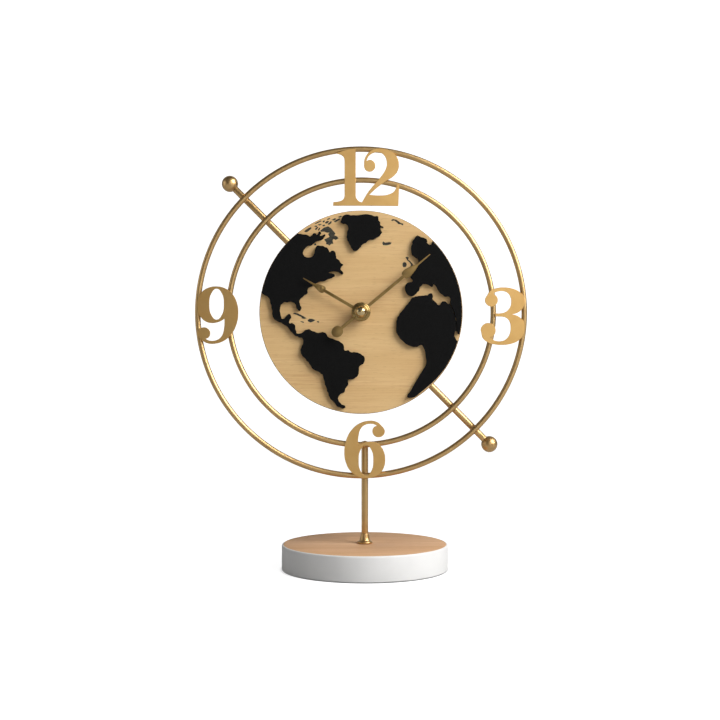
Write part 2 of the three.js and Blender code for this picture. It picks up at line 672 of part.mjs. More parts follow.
// Dial: a veneered disc with a bore for the movement's spigot and pilot holes in its back.
function dialGeometry() {
  const radius = DIAL_DIAMETER / 2;
  const bore = SPIGOT_DIAMETER / 2 + RUNNING_CLEARANCE;
  const disc = turned([
    [bore, 0],
    [radius, 0],
    [radius, DIAL_THICKNESS - DIAL_EDGE],
    [radius - DIAL_EDGE, DIAL_THICKNESS],
    [bore, DIAL_THICKNESS],
  ], MANY_SIDES, true);
  const pilotDepth = Math.min(BRACKET_SCREW_BITE + 2 * SEAT_GAP, DIAL_THICKNESS - DIAL_EDGE);
  const pilots = bracketScrewPlaces.map((place) =>
    at(rodAlongZ(BRACKET_SCREW_DIAMETER + spread, -1, pilotDepth), place));
  return cut(disc, ...pilots);
}
add(front, "dial", dialGeometry(), woodVeneer).position.z = dialBack;

// Map: land cut from board, in hundredths of the map's radius. A coast runs clockwise through its headlands and
// bays, and land that meets the dial's edge is closed by an arc along it.
const mapRadius = DIAL_DIAMETER / 2 - MAP_MARGIN;

function land(coast, edgeFrom, edgeTo) {
  const points = coast.map(([x, y]) => new THREE.Vector2(x, y).multiplyScalar(mapRadius / 100));
  const shape = new THREE.Shape(points);
  if (edgeFrom !== undefined) shape.absarc(0, 0, mapRadius, edgeFrom * DEGREE, edgeTo * DEGREE, true);
  shape.closePath();
  return shape;
}

const arcticAmerica = [
  [-58, 77.5], [-55, 77.5], [-50, 76], [-48, 78], [-45.5, 79], [-44, 77.5], [-41.5, 81], [-40, 80],
  [-41, 76.5], [-36, 77.5], [-36.5, 75], [-40, 72], [-45, 70.5], [-50, 67], [-55.5, 65],
];
const hudsonBay = [
  [-57.5, 61.5], [-58, 58], [-55.5, 55], [-52, 54.5], [-49, 55.5], [-47, 59], [-46, 62], [-44, 66],
  [-40.5, 66.5], [-36, 65],
];
const atlanticAmerica = [
  [-32, 62], [-31.5, 60], [-29.5, 61.5], [-26.5, 60.5], [-25, 56.5], [-24.5, 54], [-22, 52], [-20, 49],
  [-18, 47.5], [-19.5, 45.5], [-20.5, 43], [-18, 38.5], [-22, 39.5], [-25.5, 41], [-30, 40.5], [-32, 39.8],
  [-29.5, 39], [-26.5, 37], [-28, 35], [-33, 33], [-38.5, 31], [-44, 29.5], [-45.5, 28], [-50, 25.5],
  [-53.5, 23], [-53.5, 20], [-57, 16.5], [-61, 13], [-62, 10.5], [-61, 7], [-60, 3.5], [-62, 1], [-64, 3.5],
  [-65.5, 7],
];
const gulfOfMexico = [
  [-67, 9.5], [-69.5, 10.5], [-74, 10], [-78, 9.5], [-80.5, 7], [-81, 3.5], [-80.5, -3], [-78.5, -7],
  [-76, -5], [-72.5, -2], [-70, -4], [-71.5, -8], [-71.5, -11], [-69, -11], [-66.5, -13], [-65.5, -18],
  [-64, -21],
];
const atlanticSouthAmerica = [
  [-60.5, -21.5], [-57.5, -19.5], [-55.5, -18], [-51, -17.5], [-46.5, -19.5], [-43, -20.5], [-38.5, -20],
  [-35, -21.5], [-33.5, -24.5], [-30, -26], [-25.5, -28], [-20.5, -30], [-17.5, -33.5], [-16, -38.5],
  [-12.5, -38], [-10.5, -40], [-5.5, -40], [-0.5, -42], [3.5, -45.5], [2, -52], [-1.5, -54.5], [-2, -59.5],
  [-4, -64.5], [-8.5, -67], [-12.5, -68], [-13, -72], [-15.5, -76.5], [-17, -80.5], [-20.5, -82],
  [-23, -85.5], [-22.5, -89], [-19.5, -92.5], [-15.5, -95],
];
const pacificAmerica = [
  [-17, -96.5], [-20.5, -96], [-24, -94], [-27.5, -89.5], [-31.5, -85], [-33, -80.5], [-35, -74.5],
  [-37, -68], [-38.5, -62.5], [-43, -59.5], [-48, -57], [-51.5, -52], [-55.5, -47], [-59.5, -42.5],
  [-60.5, -39], [-59.5, -35], [-58, -31], [-59, -26], [-62.5, -25], [-65.5, -24], [-69, -20.5], [-73, -15.5],
  [-78, -12], [-83, -9.5], [-87, -7], [-88.5, -3.5], [-89, 2], [-90.5, 9], [-92.5, 14.5],
];
const coastAmericas = [
  ...arcticAmerica,
  ...hudsonBay,
  ...atlanticAmerica,
  ...gulfOfMexico,
  ...atlanticSouthAmerica,
  ...pacificAmerica,
];
const coastGreenland = [
  [-19, 95.5], [-15, 97.5], [-8, 97], [3, 97.5], [11.5, 97], [14, 95.5], [17.5, 95.5], [17, 92.5],
  [19, 89.5], [19.5, 87.5], [22.5, 85], [19.5, 84.5], [21, 80], [20, 78], [16.5, 75], [12.5, 73], [8.5, 72],
  [5, 70], [2, 68.5], [0, 65.5], [-2.5, 63], [-5, 61], [-8, 62.5], [-10, 65], [-12, 69.5], [-13.5, 72],
  [-14, 76.5], [-13.5, 87], [-15.5, 88.5], [-18.5, 89], [-20.5, 90.5], [-19.5, 92.5],
];
const mediterraneanEurope = [
  [96.5, -20.5], [96, -13.5], [95, -7], [93.5, -1], [91.5, 4.5], [89.5, 8], [89.5, 12], [88.5, 15], [84, 16],
  [80.5, 18.5], [77.5, 21.5], [75.5, 25], [73, 28], [71, 25], [69, 26.5], [66, 28], [62, 28], [60, 26],
  [58, 22], [55.5, 18.5], [52, 16], [47.5, 17],
];
const atlanticEurope = [
  [44.5, 21.5], [44, 26], [47, 29.5], [52, 31], [50, 34], [51.5, 40], [56, 47], [57.5, 51.5], [55, 54.5],
  [52, 56.5], [50.5, 59.5], [51, 69], [52.5, 72.5], [56.5, 76.5], [60, 75], [63.5, 74], [66.5, 72], [66, 70],
  [68, 67.5], [70.5, 68],
];
const atlanticAfrica = [
  [46.5, -84.5], [49, -80], [53, -73], [58.5, -63.5], [64, -54.5], [65.5, -48], [64.5, -42], [63, -36],
  [60.5, -33], [56, -34.5], [50.5, -34.5], [45, -31.5], [40.5, -27.5], [37, -23], [35.5, -18.5],
  [35.5, -12.5], [36, -7], [39, -1.5], [43.5, 4.5], [48, 10], [51.5, 14.5],
];
const mediterraneanAfrica = [
  [56, 16], [61, 16.5], [66.5, 17], [70, 18.5], [72, 15], [71.5, 13.5], [74.5, 10.5], [78.5, 7],
  [81.5, 10.5], [85, 10], [88.5, 7],
];
const redSeaAfrica = [[90.5, 4], [92.5, -1.5], [94, -7.5], [95, -13.5], [94, -20.5], [93.5, -25], [95.5, -28]];
const lands = {
  map_americas: land(coastAmericas, 169, 129),
  map_greenland: land(coastGreenland),
  map_eurasia: land([...mediterraneanEurope, ...atlanticEurope], 44.5, -12.5),
  map_africa: land([...atlanticAfrica, ...mediterraneanAfrica, ...redSeaAfrica], -17.5, -59),
};
for (const [name, shape] of Object.entries(lands)) {
  add(front, name, plate(shape, MAP_THICKNESS, 4), blackBoard).position.z = mapBack;
}

// Movement housing: a moulded tray with a wheel room above, a battery bay below and a threaded spigot in front.
function caseGeometry() {
  const outline = () =>
    roundedRectangle(-caseHalfWidth, -caseHalfHeight, caseHalfWidth, caseHalfHeight, CASE_CORNER);
  const inside = Math.max(CASE_CORNER - CASE_WALL, CASE_WALL);
  const walls = outline();
  const hollow = (bottom, top) =>
    roundedRectangle(-roomHalfWidth, bottom, roomHalfWidth, top, inside, new THREE.Path());
  walls.holes.push(hollow(roomBottom, roomTop), hollow(bayBottom, bayTop));
  const spigotProfile = tubeProfile(spigotBore / 2, SPIGOT_DIAMETER / 2, roomFront, spigotFront);
  const bossBack = levelFront(MINUTE_LEVEL) + SEAT_GAP;
  const bossRadius = settingHole / 2 + CASE_WALL / 2;
  const bossProfile = tubeProfile(settingHole / 2, bossRadius, bossBack, roomFront + CASE_WALL / 2);
  const face = plate(outline(), CASE_WALL, 2).translate(0, 0, roomFront);
  return join(
    plate(walls, roomFront - caseBack + CASE_WALL / 2, 2).translate(0, 0, caseBack),
    cut(face, drill(spigotBore, centreAt, roomFront, caseFront, SOME_SIDES)),
    turned(spigotProfile, SOME_SIDES, true),
    at(turned(bossProfile, FEW_SIDES, true), settingAt));
}
add(front, "movement_case", caseGeometry(), blackPlastic);

// Rear cover: open over the battery, with pivot holes for the wheels and a stud for the intermediate wheel.
const intermediateStudFront = levelFront(SECONDS_LEVEL) + LEVEL_GAP / 2;
function coverGeometry() {
  const lip = CASE_WALL + BATTERY_CLEARANCE;
  const shape = roundedRectangle(-caseHalfWidth, -caseHalfHeight, caseHalfWidth, caseHalfHeight, CASE_CORNER);
  const window = roundedRectangle(
    -caseHalfWidth + lip, bayBottom + BATTERY_CLEARANCE, caseHalfWidth - lip, bayTop - BATTERY_CLEARANCE,
    CASE_WALL, new THREE.Path());
  shape.holes.push(window);
  const shaftHole = drill(settingHole, settingAt, coverBack, coverFront);
  const pivots = [thirdAt, centreAt, rotorAt].map((place) =>
    at(rodAlongZ(pivotHole, pivotBack - SEAT_GAP, coverFront + 1), place));
  const stud = at(rodAlongZ(ARBOR_DIAMETER, coverBack + CASE_WALL / 2, intermediateStudFront), intermediateAt);
  const sheet = plate(shape, COVER_THICKNESS, 2).translate(0, 0, coverBack);
  return join(cut(sheet, shaftHole, ...pivots), stud);
}
add(front, "movement_cover", coverGeometry(), blackPlastic);

// What clamps the housing to the dial
const gasketProfile = tubeProfile(
  SPIGOT_DIAMETER / 2 + RUNNING_CLEARANCE, GASKET_DIAMETER / 2,
  caseFront + SEAT_GAP, caseFront + SEAT_GAP + GASKET_THICKNESS);
add(front, "movement_gasket", turned(gasketProfile, SOME_SIDES, true), blackRubber);
const dialWasherProfile = tubeProfile(
  SPIGOT_DIAMETER / 2 + RUNNING_CLEARANCE, DIAL_WASHER_DIAMETER / 2,
  dialWasherBack, dialWasherBack + DIAL_WASHER_THICKNESS);
add(front, "dial_washer", turned(dialWasherProfile, SOME_SIDES, true), polishedBrass);

function nutShape() {
  const corner = NUT_ACROSS_FLATS / Math.sqrt(3);
  const shape = new THREE.Shape(Array.from({ length: 6 }, (_, i) => polar(corner, 60 * i)));
  shape.holes.push(roundHole(SPIGOT_DIAMETER + spread));
  return shape;
}
add(front, "dial_nut", plate(nutShape(), NUT_HEIGHT, 6), polishedBrass).position.z = nutBack;

// Middle plate: carries the front pivots, the minute wheel's stud and the pillars under the stator.
const coilY = roomTop - WHEEL_CLEARANCE - cheekDiameter / 2;
const coreReach = COIL_LENGTH / 2 + COIL_CORE_OVERHANG / 2;
const coreEnds = [new THREE.Vector2(-coreReach, coilY), new THREE.Vector2(coreReach, coilY)];
const statorFront = levelFront(SECONDS_LEVEL) - (WHEEL_THICKNESS - STATOR_THICKNESS) / 2;
const statorBack = statorFront - STATOR_THICKNESS;
const coreBack = statorFront + SEAT_GAP;
const coreFront = coreBack + COIL_CORE_THICKNESS;

function middlePlateGeometry() {
  const halfWidth = roomHalfWidth - SEAT_GAP;
  const shape =
    roundedRectangle(-halfWidth, roomBottom + SEAT_GAP, halfWidth, roomTop - SEAT_GAP, CASE_CORNER);
  const [back, face] = [levelBack(PLATE_LEVEL), levelFront(PLATE_LEVEL)];
  const holes = [[centreBore, centreAt], [settingHole, settingAt], [pivotHole, thirdAt], [pivotHole, rotorAt]];
  const sheet = cut(
    plate(shape, WHEEL_THICKNESS, 2).translate(0, 0, back),
    ...holes.map(([diameter, place]) => drill(diameter, place, back, face)));
  const studFront = levelFront(HOUR_LEVEL);
  const middle = (back + face) / 2;
  const stud = at(rodAlongZ(ARBOR_DIAMETER, middle, studFront), minuteAt);
  const pillars = coreEnds.map((place) => at(rodAlongZ(STATOR_ARM_WIDTH, coreFront + SEAT_GAP, middle), place));
  return join(sheet, stud, ...pillars);
}
add(front, "middle_plate", middlePlateGeometry(), whitePlastic);

// Going train. Each wheel carries the pinion that drives the next slower one.
const arbor = (from, to) => rodAlongZ(ARBOR_DIAMETER, from, to);
const pivot = (from, to) => rodAlongZ(PIVOT_DIAMETER, from, to);
const atLevel = (geometry, level) => geometry.translate(0, 0, levelBack(level));

const centreWheelPhase = 0;
const thirdPinionPhase = meshPhase(CENTRE_TEETH, centreWheelPhase, THIRD_LEAVES, THIRD_DIRECTION);
const thirdWheelPhase = 0;
const secondsPinionPhase = meshPhase(THIRD_TEETH, thirdWheelPhase, SECONDS_LEAVES, THIRD_DIRECTION + 180);
const secondsWheelPhase = 0;
const intermediatePinionPhase =
  meshPhase(SECONDS_TEETH, secondsWheelPhase, INTERMEDIATE_LEAVES, INTERMEDIATE_DIRECTION);
const intermediateWheelPhase = 0;
const rotorPinionPhase = meshPhase(INTERMEDIATE_TEETH, intermediateWheelPhase, ROTOR_LEAVES, ROTOR_DIRECTION);

function addWheel(name, place, material, ...pieces) {
  const geometry = pieces.length > 1 ? join(...pieces) : pieces[0];
  add(front, name, geometry, material).position.set(place.x, place.y, 0);
}

addWheel("centre_wheel", centreAt, wheelBrass,
  atLevel(wheel(CENTRE_TEETH, TOOTH_MODULE, centreBore, centreWheelPhase), CENTRE_LEVEL));

addWheel("third_wheel", thirdAt, wheelBrass,
  atLevel(wheel(THIRD_TEETH, secondsModule, 0, thirdWheelPhase), THIRD_LEVEL),
  pinion(THIRD_LEAVES, TOOTH_MODULE, 0, thirdPinionPhase, levelPitch)
    .translate(0, 0, levelFront(THIRD_LEVEL)),
  arbor(coverFront + LEVEL_GAP, levelFront(THIRD_LEVEL)),
  pivot(pivotBack, platePivotFront));

const centreArborBack = levelBack(CENTRE_LEVEL);
addWheel("seconds_wheel", centreAt, wheelBrass,
  atLevel(wheel(SECONDS_TEETH, TOOTH_MODULE, 0, secondsWheelPhase), SECONDS_LEVEL),
  pinion(SECONDS_LEAVES, secondsModule, 0, secondsPinionPhase, levelPitch)
    .translate(0, 0, levelFront(SECONDS_LEVEL)),
  arbor(coverFront + LEVEL_GAP, levelFront(SECONDS_LEVEL)),
  pivot(pivotBack, centreArborBack + PIVOT_DEPTH));

addWheel("intermediate_wheel", intermediateAt, wheelBrass,
  cut(
    join(
      atLevel(wheel(INTERMEDIATE_TEETH, TOOTH_MODULE, 0, intermediateWheelPhase), INTERMEDIATE_LEVEL),
      pinion(INTERMEDIATE_LEAVES, TOOTH_MODULE, 0, intermediatePinionPhase, levelPitch)
        .translate(0, 0, levelFront(INTERMEDIATE_LEVEL))),
    rodAlongZ(studBore, coverBack, roomFront)));

addWheel("rotor", rotorAt, magnetGrey,
  atLevel(pinion(ROTOR_LEAVES, TOOTH_MODULE, 0, rotorPinionPhase, levelPitch), INTERMEDIATE_LEVEL),
  rodAlongZ(ROTOR_MAGNET_DIAMETER, levelBack(SECONDS_LEVEL), levelFront(THIRD_LEVEL)),
  arbor(coverFront + LEVEL_GAP, levelBack(CENTRE_LEVEL)),
  pivot(pivotBack, platePivotFront));

// Motor: a stator yoke with a bore round the rotor and two legs up to the ends of the coil's core.
function statorGeometry() {
  const half = STATOR_ARM_WIDTH / 2;
  const round = half / 2;
  const lobe = ROTOR_MAGNET_DIAMETER + 2 * STATOR_BORE_GAP + STATOR_ARM_WIDTH * 0.7;
  const disc = at(rodAlongZ(lobe, statorBack, statorFront, SOME_SIDES), rotorAt);
  const yoke = roundedRectangle(-coreReach - half, rotorAt.y - half, coreReach + half, rotorAt.y + half, round);
  const legs = coreEnds.map((end) =>
    roundedRectangle(end.x - half, rotorAt.y - half, end.x + half, end.y + half, round));
  const strips = [yoke, ...legs].map((shape) => plate(shape, STATOR_THICKNESS, 1).translate(0, 0, statorBack));
  const bore = drill(ROTOR_MAGNET_DIAMETER + 2 * STATOR_BORE_GAP, rotorAt, statorBack, statorFront);
  return cut(join(disc, ...strips), bore);
}
add(front, "stator", statorGeometry(), zincSteel);

const coreLength = COIL_LENGTH + 2 * COIL_CORE_OVERHANG;
const coreGeometry = new THREE.BoxGeometry(coreLength, COIL_CORE_WIDTH, COIL_CORE_THICKNESS);
const corePlace = [0, coilY, (coreBack + coreFront) / 2];
add(front, "coil_core", coreGeometry, zincSteel).position.set(...corePlace);

function coilGeometry() {
  const half = COIL_LENGTH / 2;
  const spool = turned([
    [0, -half],
    [cheekDiameter / 2, -half],
    [cheekDiameter / 2, -half + COIL_CHEEK],
    [COIL_DIAMETER / 2, -half + COIL_CHEEK],
    [COIL_DIAMETER / 2, half - COIL_CHEEK],
    [cheekDiameter / 2, half - COIL_CHEEK],
    [cheekDiameter / 2, half],
    [0, half],
  ], FEW_SIDES).rotateY(Math.PI / 2);
  const slot = new THREE.BoxGeometry(coreLength, COIL_CORE_WIDTH + spread, COIL_CORE_THICKNESS + spread);
  return cut(spool, slot);
}
add(front, "coil", coilGeometry(), copperWire).position.set(...corePlace);

// Motion work: the cannon pinion on the centre arbor turns the hour wheel through the minute wheel.
const cannonPhase = 0;
const minuteWheelPhase = meshPhase(CANNON_LEAVES, cannonPhase, MINUTE_TEETH, MINUTE_WHEEL_DIRECTION);
const minutePinionPhase = 0;
const hourWheelPhase = meshPhase(MINUTE_LEAVES, minutePinionPhase, HOUR_TEETH, MINUTE_WHEEL_DIRECTION + 180);
const settingPhase = meshPhase(MINUTE_TEETH, minuteWheelPhase, SETTING_LEAVES, SETTING_DIRECTION);

const arborFront = capBack + CAP_GRIP;
const footBore = PIVOT_DEPTH + 2 * SEAT_GAP;
const centreArborProfile = [
  [0, centreArborBack + footBore],
  [pivotHole / 2, centreArborBack + footBore],
  [pivotHole / 2, centreArborBack],
  [CENTRE_ARBOR_DIAMETER / 2, centreArborBack],
  [CENTRE_ARBOR_DIAMETER / 2, arborFront],
  [0, arborFront],
];
addWheel("centre_arbor", centreAt, wheelBrass,
  turned(centreArborProfile, FEW_SIDES),
  atLevel(pinion(CANNON_LEAVES, TOOTH_MODULE, 0, cannonPhase, WHEEL_THICKNESS), MINUTE_LEVEL));

addWheel("minute_wheel", minuteAt, wheelBrass,
  cut(
    join(
      atLevel(wheel(MINUTE_TEETH, TOOTH_MODULE, 0, minuteWheelPhase), MINUTE_LEVEL),
      pinion(MINUTE_LEAVES, hourModule, 0, minutePinionPhase, levelPitch)
        .translate(0, 0, levelFront(MINUTE_LEVEL))),
    rodAlongZ(studBore, coverBack, caseFront)));

const hourPipeFront = hourHandBack + HAND_THICKNESS + SEAT_GAP;
const hourPipeProfile = tubeProfile(centreBore / 2, hourPipeDiameter / 2, levelBack(HOUR_LEVEL), hourPipeFront);
addWheel("hour_wheel", centreAt, wheelBrass,
  atLevel(wheel(HOUR_TEETH, hourModule, centreBore, hourWheelPhase), HOUR_LEVEL),
  turned(hourPipeProfile, FEW_SIDES, true));

// Setting knob: a fluted knob on the back, with a shaft and a pinion on the minute wheel.
function knobShape() {
  const shape = new THREE.Shape();
  const points = Array.from({ length: 2 * SETTING_KNOB_FLUTES }, (_, i) =>
    polar(SETTING_KNOB_DIAMETER / 2 * (i % 2 ? 0.9 : 1), 180 / SETTING_KNOB_FLUTES * i));
  shape.setFromPoints(points);
  return shape;
}
const knobFront = coverBack - 2 * SEAT_GAP;
const settingPivotFront = roomFront - 2 * SEAT_GAP;
addWheel("setting_knob", settingAt, blackPlastic,
  plate(knobShape(), SETTING_KNOB_HEIGHT).translate(0, 0, knobFront - SETTING_KNOB_HEIGHT),
  rodAlongZ(SETTING_SHAFT_DIAMETER, knobFront - SETTING_KNOB_HEIGHT / 2, levelFront(MINUTE_LEVEL)),
  rodAlongZ(settingPivot, knobFront, settingPivotFront),
  atLevel(pinion(SETTING_LEAVES, TOOTH_MODULE, 0, settingPhase, WHEEL_THICKNESS), MINUTE_LEVEL));

// Electronics: a board with its chip under a resin drop, and the crystal's can.
const boardFront = levelBack(PLATE_LEVEL) - SEAT_GAP;
const boardBack = boardFront - BOARD_THICKNESS;
const boardX = -roomHalfWidth + WHEEL_CLEARANCE + BOARD_WIDTH / 2;
const boardY = roomBottom + WHEEL_CLEARANCE + BOARD_LENGTH / 2;
const chipDrop = new THREE.SphereGeometry(CHIP_DIAMETER / 2, FEW_SIDES, 8)
  .scale(1, 1, 2 * CHIP_HEIGHT / CHIP_DIAMETER)
  .translate(0, -BOARD_LENGTH / 4, boardBack);
const boardSheet = new THREE.BoxGeometry(BOARD_WIDTH, BOARD_LENGTH, BOARD_THICKNESS)
  .translate(0, 0, (boardFront + boardBack) / 2);
const boardFace = rodAlongZ(CHIP_DIAMETER + 1, boardFront, roomFront).translate(0, -BOARD_LENGTH / 4, 0);
addWheel("circuit_board", new THREE.Vector2(boardX, boardY), boardGreen,
  cut(join(boardSheet, chipDrop), boardFace));
const crystal = rodAlongZ(CRYSTAL_DIAMETER, -CRYSTAL_LENGTH / 2, CRYSTAL_LENGTH / 2).rotateX(Math.PI / 2);
add(front, "quartz_crystal", crystal, zincSteel)
  .position.set(boardX, boardY + BOARD_LENGTH / 4, boardBack - SEAT_GAP - CRYSTAL_DIAMETER / 2);

// Battery, with its knob to the right, between a flat and a sprung contact.
const batteryY = (bayBottom + bayTop) / 2;
const batteryZ = roomFront - BATTERY_CLEARANCE - BATTERY_DIAMETER / 2;
const bayRight = roomHalfWidth;
const batteryEnd = bayRight - contactRoom;
function batteryGeometry() {
  const shoulder = batteryEnd - BATTERY_NUB_LENGTH;
  const foot = batteryEnd - BATTERY_LENGTH;
  const edge = BATTERY_NUB_LENGTH / 2;
  return turned([
    [0, foot],
    [BATTERY_DIAMETER / 2 - edge, foot],
    [BATTERY_DIAMETER / 2, foot + edge],
    [BATTERY_DIAMETER / 2, shoulder - edge],
    [BATTERY_DIAMETER / 2 - edge, shoulder],
    [BATTERY_NUB_DIAMETER / 2, shoulder],
    [BATTERY_NUB_DIAMETER / 2, batteryEnd],
    [0, batteryEnd],
  ], SOME_SIDES).rotateY(Math.PI / 2);
}
add(front, "battery", batteryGeometry(), batteryWrap).position.set(0, batteryY, batteryZ);

const flatContact = new THREE.BoxGeometry(CONTACT_THICKNESS, CONTACT_WIDTH, CONTACT_WIDTH);
add(front, "contact_positive", flatContact, zincSteel)
  .position.set(bayRight - SEAT_GAP - CONTACT_THICKNESS / 2, batteryY, batteryZ);

// The sprung contact is a strip bent to a bow that reaches the battery's foot.
function springContactShape() {
  const half = CONTACT_WIDTH / 2;
  const bow = CONTACT_SPRING - SEAT_GAP;
  const shape = new THREE.Shape();
  shape.moveTo(0, -half);
  shape.lineTo(CONTACT_THICKNESS, -half);
  shape.quadraticCurveTo(CONTACT_THICKNESS + 2 * bow, 0, CONTACT_THICKNESS, half);
  shape.lineTo(0, half);
  shape.quadraticCurveTo(2 * bow, 0, 0, -half);
  return shape;
}
const springContact = plate(springContactShape(), CONTACT_WIDTH, 6).translate(0, 0, -CONTACT_WIDTH / 2);
add(front, "contact_negative", springContact, zincSteel)
  .position.set(-bayRight + SEAT_GAP, batteryY, batteryZ);

// Hands: blades on slim stems with a fine tip, drawn along +Y and turned to the time shown.
function handShape(length, bladeStart, bladeWidest, bladeEnd, bladeWidth, tail, bore) {
  const stem = HAND_STEM_WIDTH / 2;
  const blade = bladeWidth / 2;
  const tip = HAND_TIP_WIDTH / 2;
  const boss = HAND_BOSS_DIAMETER / 2;
  const bossAngle = Math.asin(stem / boss);
  const shape = new THREE.Shape();
  shape.moveTo(stem, bladeStart);
  shape.quadraticCurveTo(blade, bladeStart, blade, bladeWidest);
  shape.quadraticCurveTo(blade * 0.75, (bladeWidest + bladeEnd) / 2, 2 * tip, bladeEnd);
  shape.lineTo(tip, length - tip);
  shape.absarc(0, length - tip, tip, 0, Math.PI);
  shape.lineTo(-2 * tip, bladeEnd);
  shape.quadraticCurveTo(-blade * 0.75, (bladeWidest + bladeEnd) / 2, -blade, bladeWidest);
  shape.quadraticCurveTo(-blade, bladeStart, -stem, bladeStart);
  if (tail) {
    shape.absarc(0, 0, boss, Math.PI / 2 + bossAngle, 1.5 * Math.PI - bossAngle);
    const paddleAngle = Math.asin(stem / (tail.width / 2));
    shape.absellipse(0, -tail.reach, tail.width / 2, tail.length / 2, Math.PI / 2 + paddleAngle,
      2.5 * Math.PI - paddleAngle);
    shape.absarc(0, 0, boss, 1.5 * Math.PI + bossAngle, 2.5 * Math.PI - bossAngle);
  } else {
    shape.absarc(0, 0, boss, Math.PI / 2 + bossAngle, 2.5 * Math.PI - bossAngle);
  }
  shape.closePath();
  shape.holes.push(roundHole(bore));
  return shape;
}

const minuteTail = { reach: MINUTE_TAIL_REACH, length: MINUTE_TAIL_LENGTH, width: MINUTE_TAIL_WIDTH };
const minuteHand = plate(handShape(
  MINUTE_LENGTH, MINUTE_BLADE_START, MINUTE_BLADE_WIDEST, MINUTE_BLADE_END, MINUTE_BLADE_WIDTH,
  minuteTail, centreBore), HAND_THICKNESS, 5);
const minuteMesh = add(front, "minute_hand", minuteHand, goldPlate);
minuteMesh.position.z = minuteHandBack;
minuteMesh.rotation.z = -MINUTE_ANGLE * DEGREE;

const hourPipeBore = hourPipeDiameter + spread;
const hourBlade = plate(handShape(
  HOUR_LENGTH, HOUR_BLADE_START, HOUR_BLADE_WIDEST, HOUR_BLADE_END, HOUR_BLADE_WIDTH,
  null, hourPipeBore), HAND_THICKNESS, 5);
const hourStud = rodAlongZ(HOUR_BLADE_WIDTH / 2, HAND_THICKNESS / 2, HAND_THICKNESS + HAND_CLEARANCE / 4)
  .translate(0, HOUR_BLADE_WIDEST, 0);
const hourCollet = turned(
  tubeProfile(hourPipeBore / 2, hourPipeBore / 2 + HOUR_PIPE_WALL, -HAND_CLEARANCE / 2, HAND_THICKNESS / 2),
  FEW_SIDES, true);
const hourMesh = add(front, "hour_hand", join(hourBlade, hourStud, hourCollet), goldPlate);
hourMesh.position.z = hourHandBack;
hourMesh.rotation.z = -HOUR_ANGLE * DEGREE;

// Cap: a turned bell over the hands' bosses, with a polished dome, pressed on the centre arbor.
function capProfile() {
  const rim = CAP_DIAMETER / 2;
  const dome = CAP_DOME_DIAMETER / 2;
  const shoulder = CAP_RIM_HEIGHT + CAP_SLOPE_HEIGHT;
  const bore = centreBore / 2;
  const gripTop = CAP_GRIP + SEAT_GAP;
  const slope = [0.3, 0.65, 1].map((rise) =>
    [rim + (dome - rim) * Math.sqrt(rise), CAP_RIM_HEIGHT + CAP_SLOPE_HEIGHT * rise]);
  const crown = [30, 60].map((angle) =>
    [dome * Math.cos(angle * DEGREE), shoulder + CAP_DOME_HEIGHT * Math.sin(angle * DEGREE)]);
  return [
    [0, gripTop],
    [bore, gripTop],
    [bore, 0],
    [rim, 0],
    [rim, CAP_RIM_HEIGHT],
    ...slope,
    ...crown,
    [0, shoulder + CAP_DOME_HEIGHT],
  ];
}
add(front, "hub_cap", turned(capProfile(), SOME_SIDES), polishedBrass).position.z = capBack;

export default clock;
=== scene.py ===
import math

import bpy
from mathutils import Matrix, Vector, noise


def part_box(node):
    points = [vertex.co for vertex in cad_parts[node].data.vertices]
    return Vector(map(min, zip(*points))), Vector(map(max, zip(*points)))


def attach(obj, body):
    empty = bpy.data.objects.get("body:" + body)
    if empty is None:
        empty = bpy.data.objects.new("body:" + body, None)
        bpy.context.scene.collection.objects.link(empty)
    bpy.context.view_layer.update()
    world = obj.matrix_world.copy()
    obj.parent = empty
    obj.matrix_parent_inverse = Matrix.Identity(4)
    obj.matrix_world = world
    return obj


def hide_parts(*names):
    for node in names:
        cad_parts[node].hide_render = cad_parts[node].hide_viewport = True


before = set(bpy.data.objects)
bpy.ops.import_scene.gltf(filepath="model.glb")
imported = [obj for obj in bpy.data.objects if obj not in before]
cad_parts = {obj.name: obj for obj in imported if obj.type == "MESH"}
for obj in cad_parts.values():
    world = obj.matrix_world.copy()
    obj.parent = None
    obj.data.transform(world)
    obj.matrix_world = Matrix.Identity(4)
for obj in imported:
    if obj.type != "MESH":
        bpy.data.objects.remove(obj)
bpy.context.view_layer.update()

# Base: a heavy disc of fibreboard, turned on a lathe and sprayed with white satin lacquer. Its foot is
# rounded, a thin rim stands round the wood top, and a pocket below hides the screw that holds the post.
MM = 0.001


def linear(code):
    """The linear colour of an sRGB hex code."""
    shares = [int(code[i:i + 2], 16) / 255 for i in (1, 3, 5)]
    return [s / 12.92 if s <= 0.04045 else ((s + 0.055) / 1.055) ** 2.4 for s in shares] + [1]


def new_material(name):
    material = bpy.data.materials.new(name)
    material.use_nodes = True
    material.node_tree.nodes.clear()
    return material


def add_node(material, kind, inputs, stops=(), **settings):
    """Adds a node. An input given as another node's output is linked, and any other value is set."""
    node = material.node_tree.nodes.new("ShaderNode" + kind)
    for name, value in settings.items():
        setattr(node, name, value)
    for name, value in inputs.items():
        if isinstance(value, bpy.types.NodeSocket):
            material.node_tree.links.new(value, node.inputs[name])
        else:
            node.inputs[name].default_value = value
    for place, code in stops:
        end = node.color_ramp.elements[-1] if place == stops[-1][0] else node.color_ramp.elements.new(place)
        end.position = place
        end.color = linear(code)
    if stops:
        node.color_ramp.elements.remove(node.color_ramp.elements[0])
    return node


def select_only(piece):
    bpy.ops.object.select_all(action="DESELECT")
    piece.select_set(True)
    bpy.context.view_layer.objects.active = piece


def started(name, add_primitive, **settings):
    """Starts a piece from a primitive, with nothing else selected."""
    bpy.ops.object.select_all(action="DESELECT")
    add_primitive(**settings)
    piece = bpy.context.object
    piece.name = name
    piece.data.name = name
    return piece


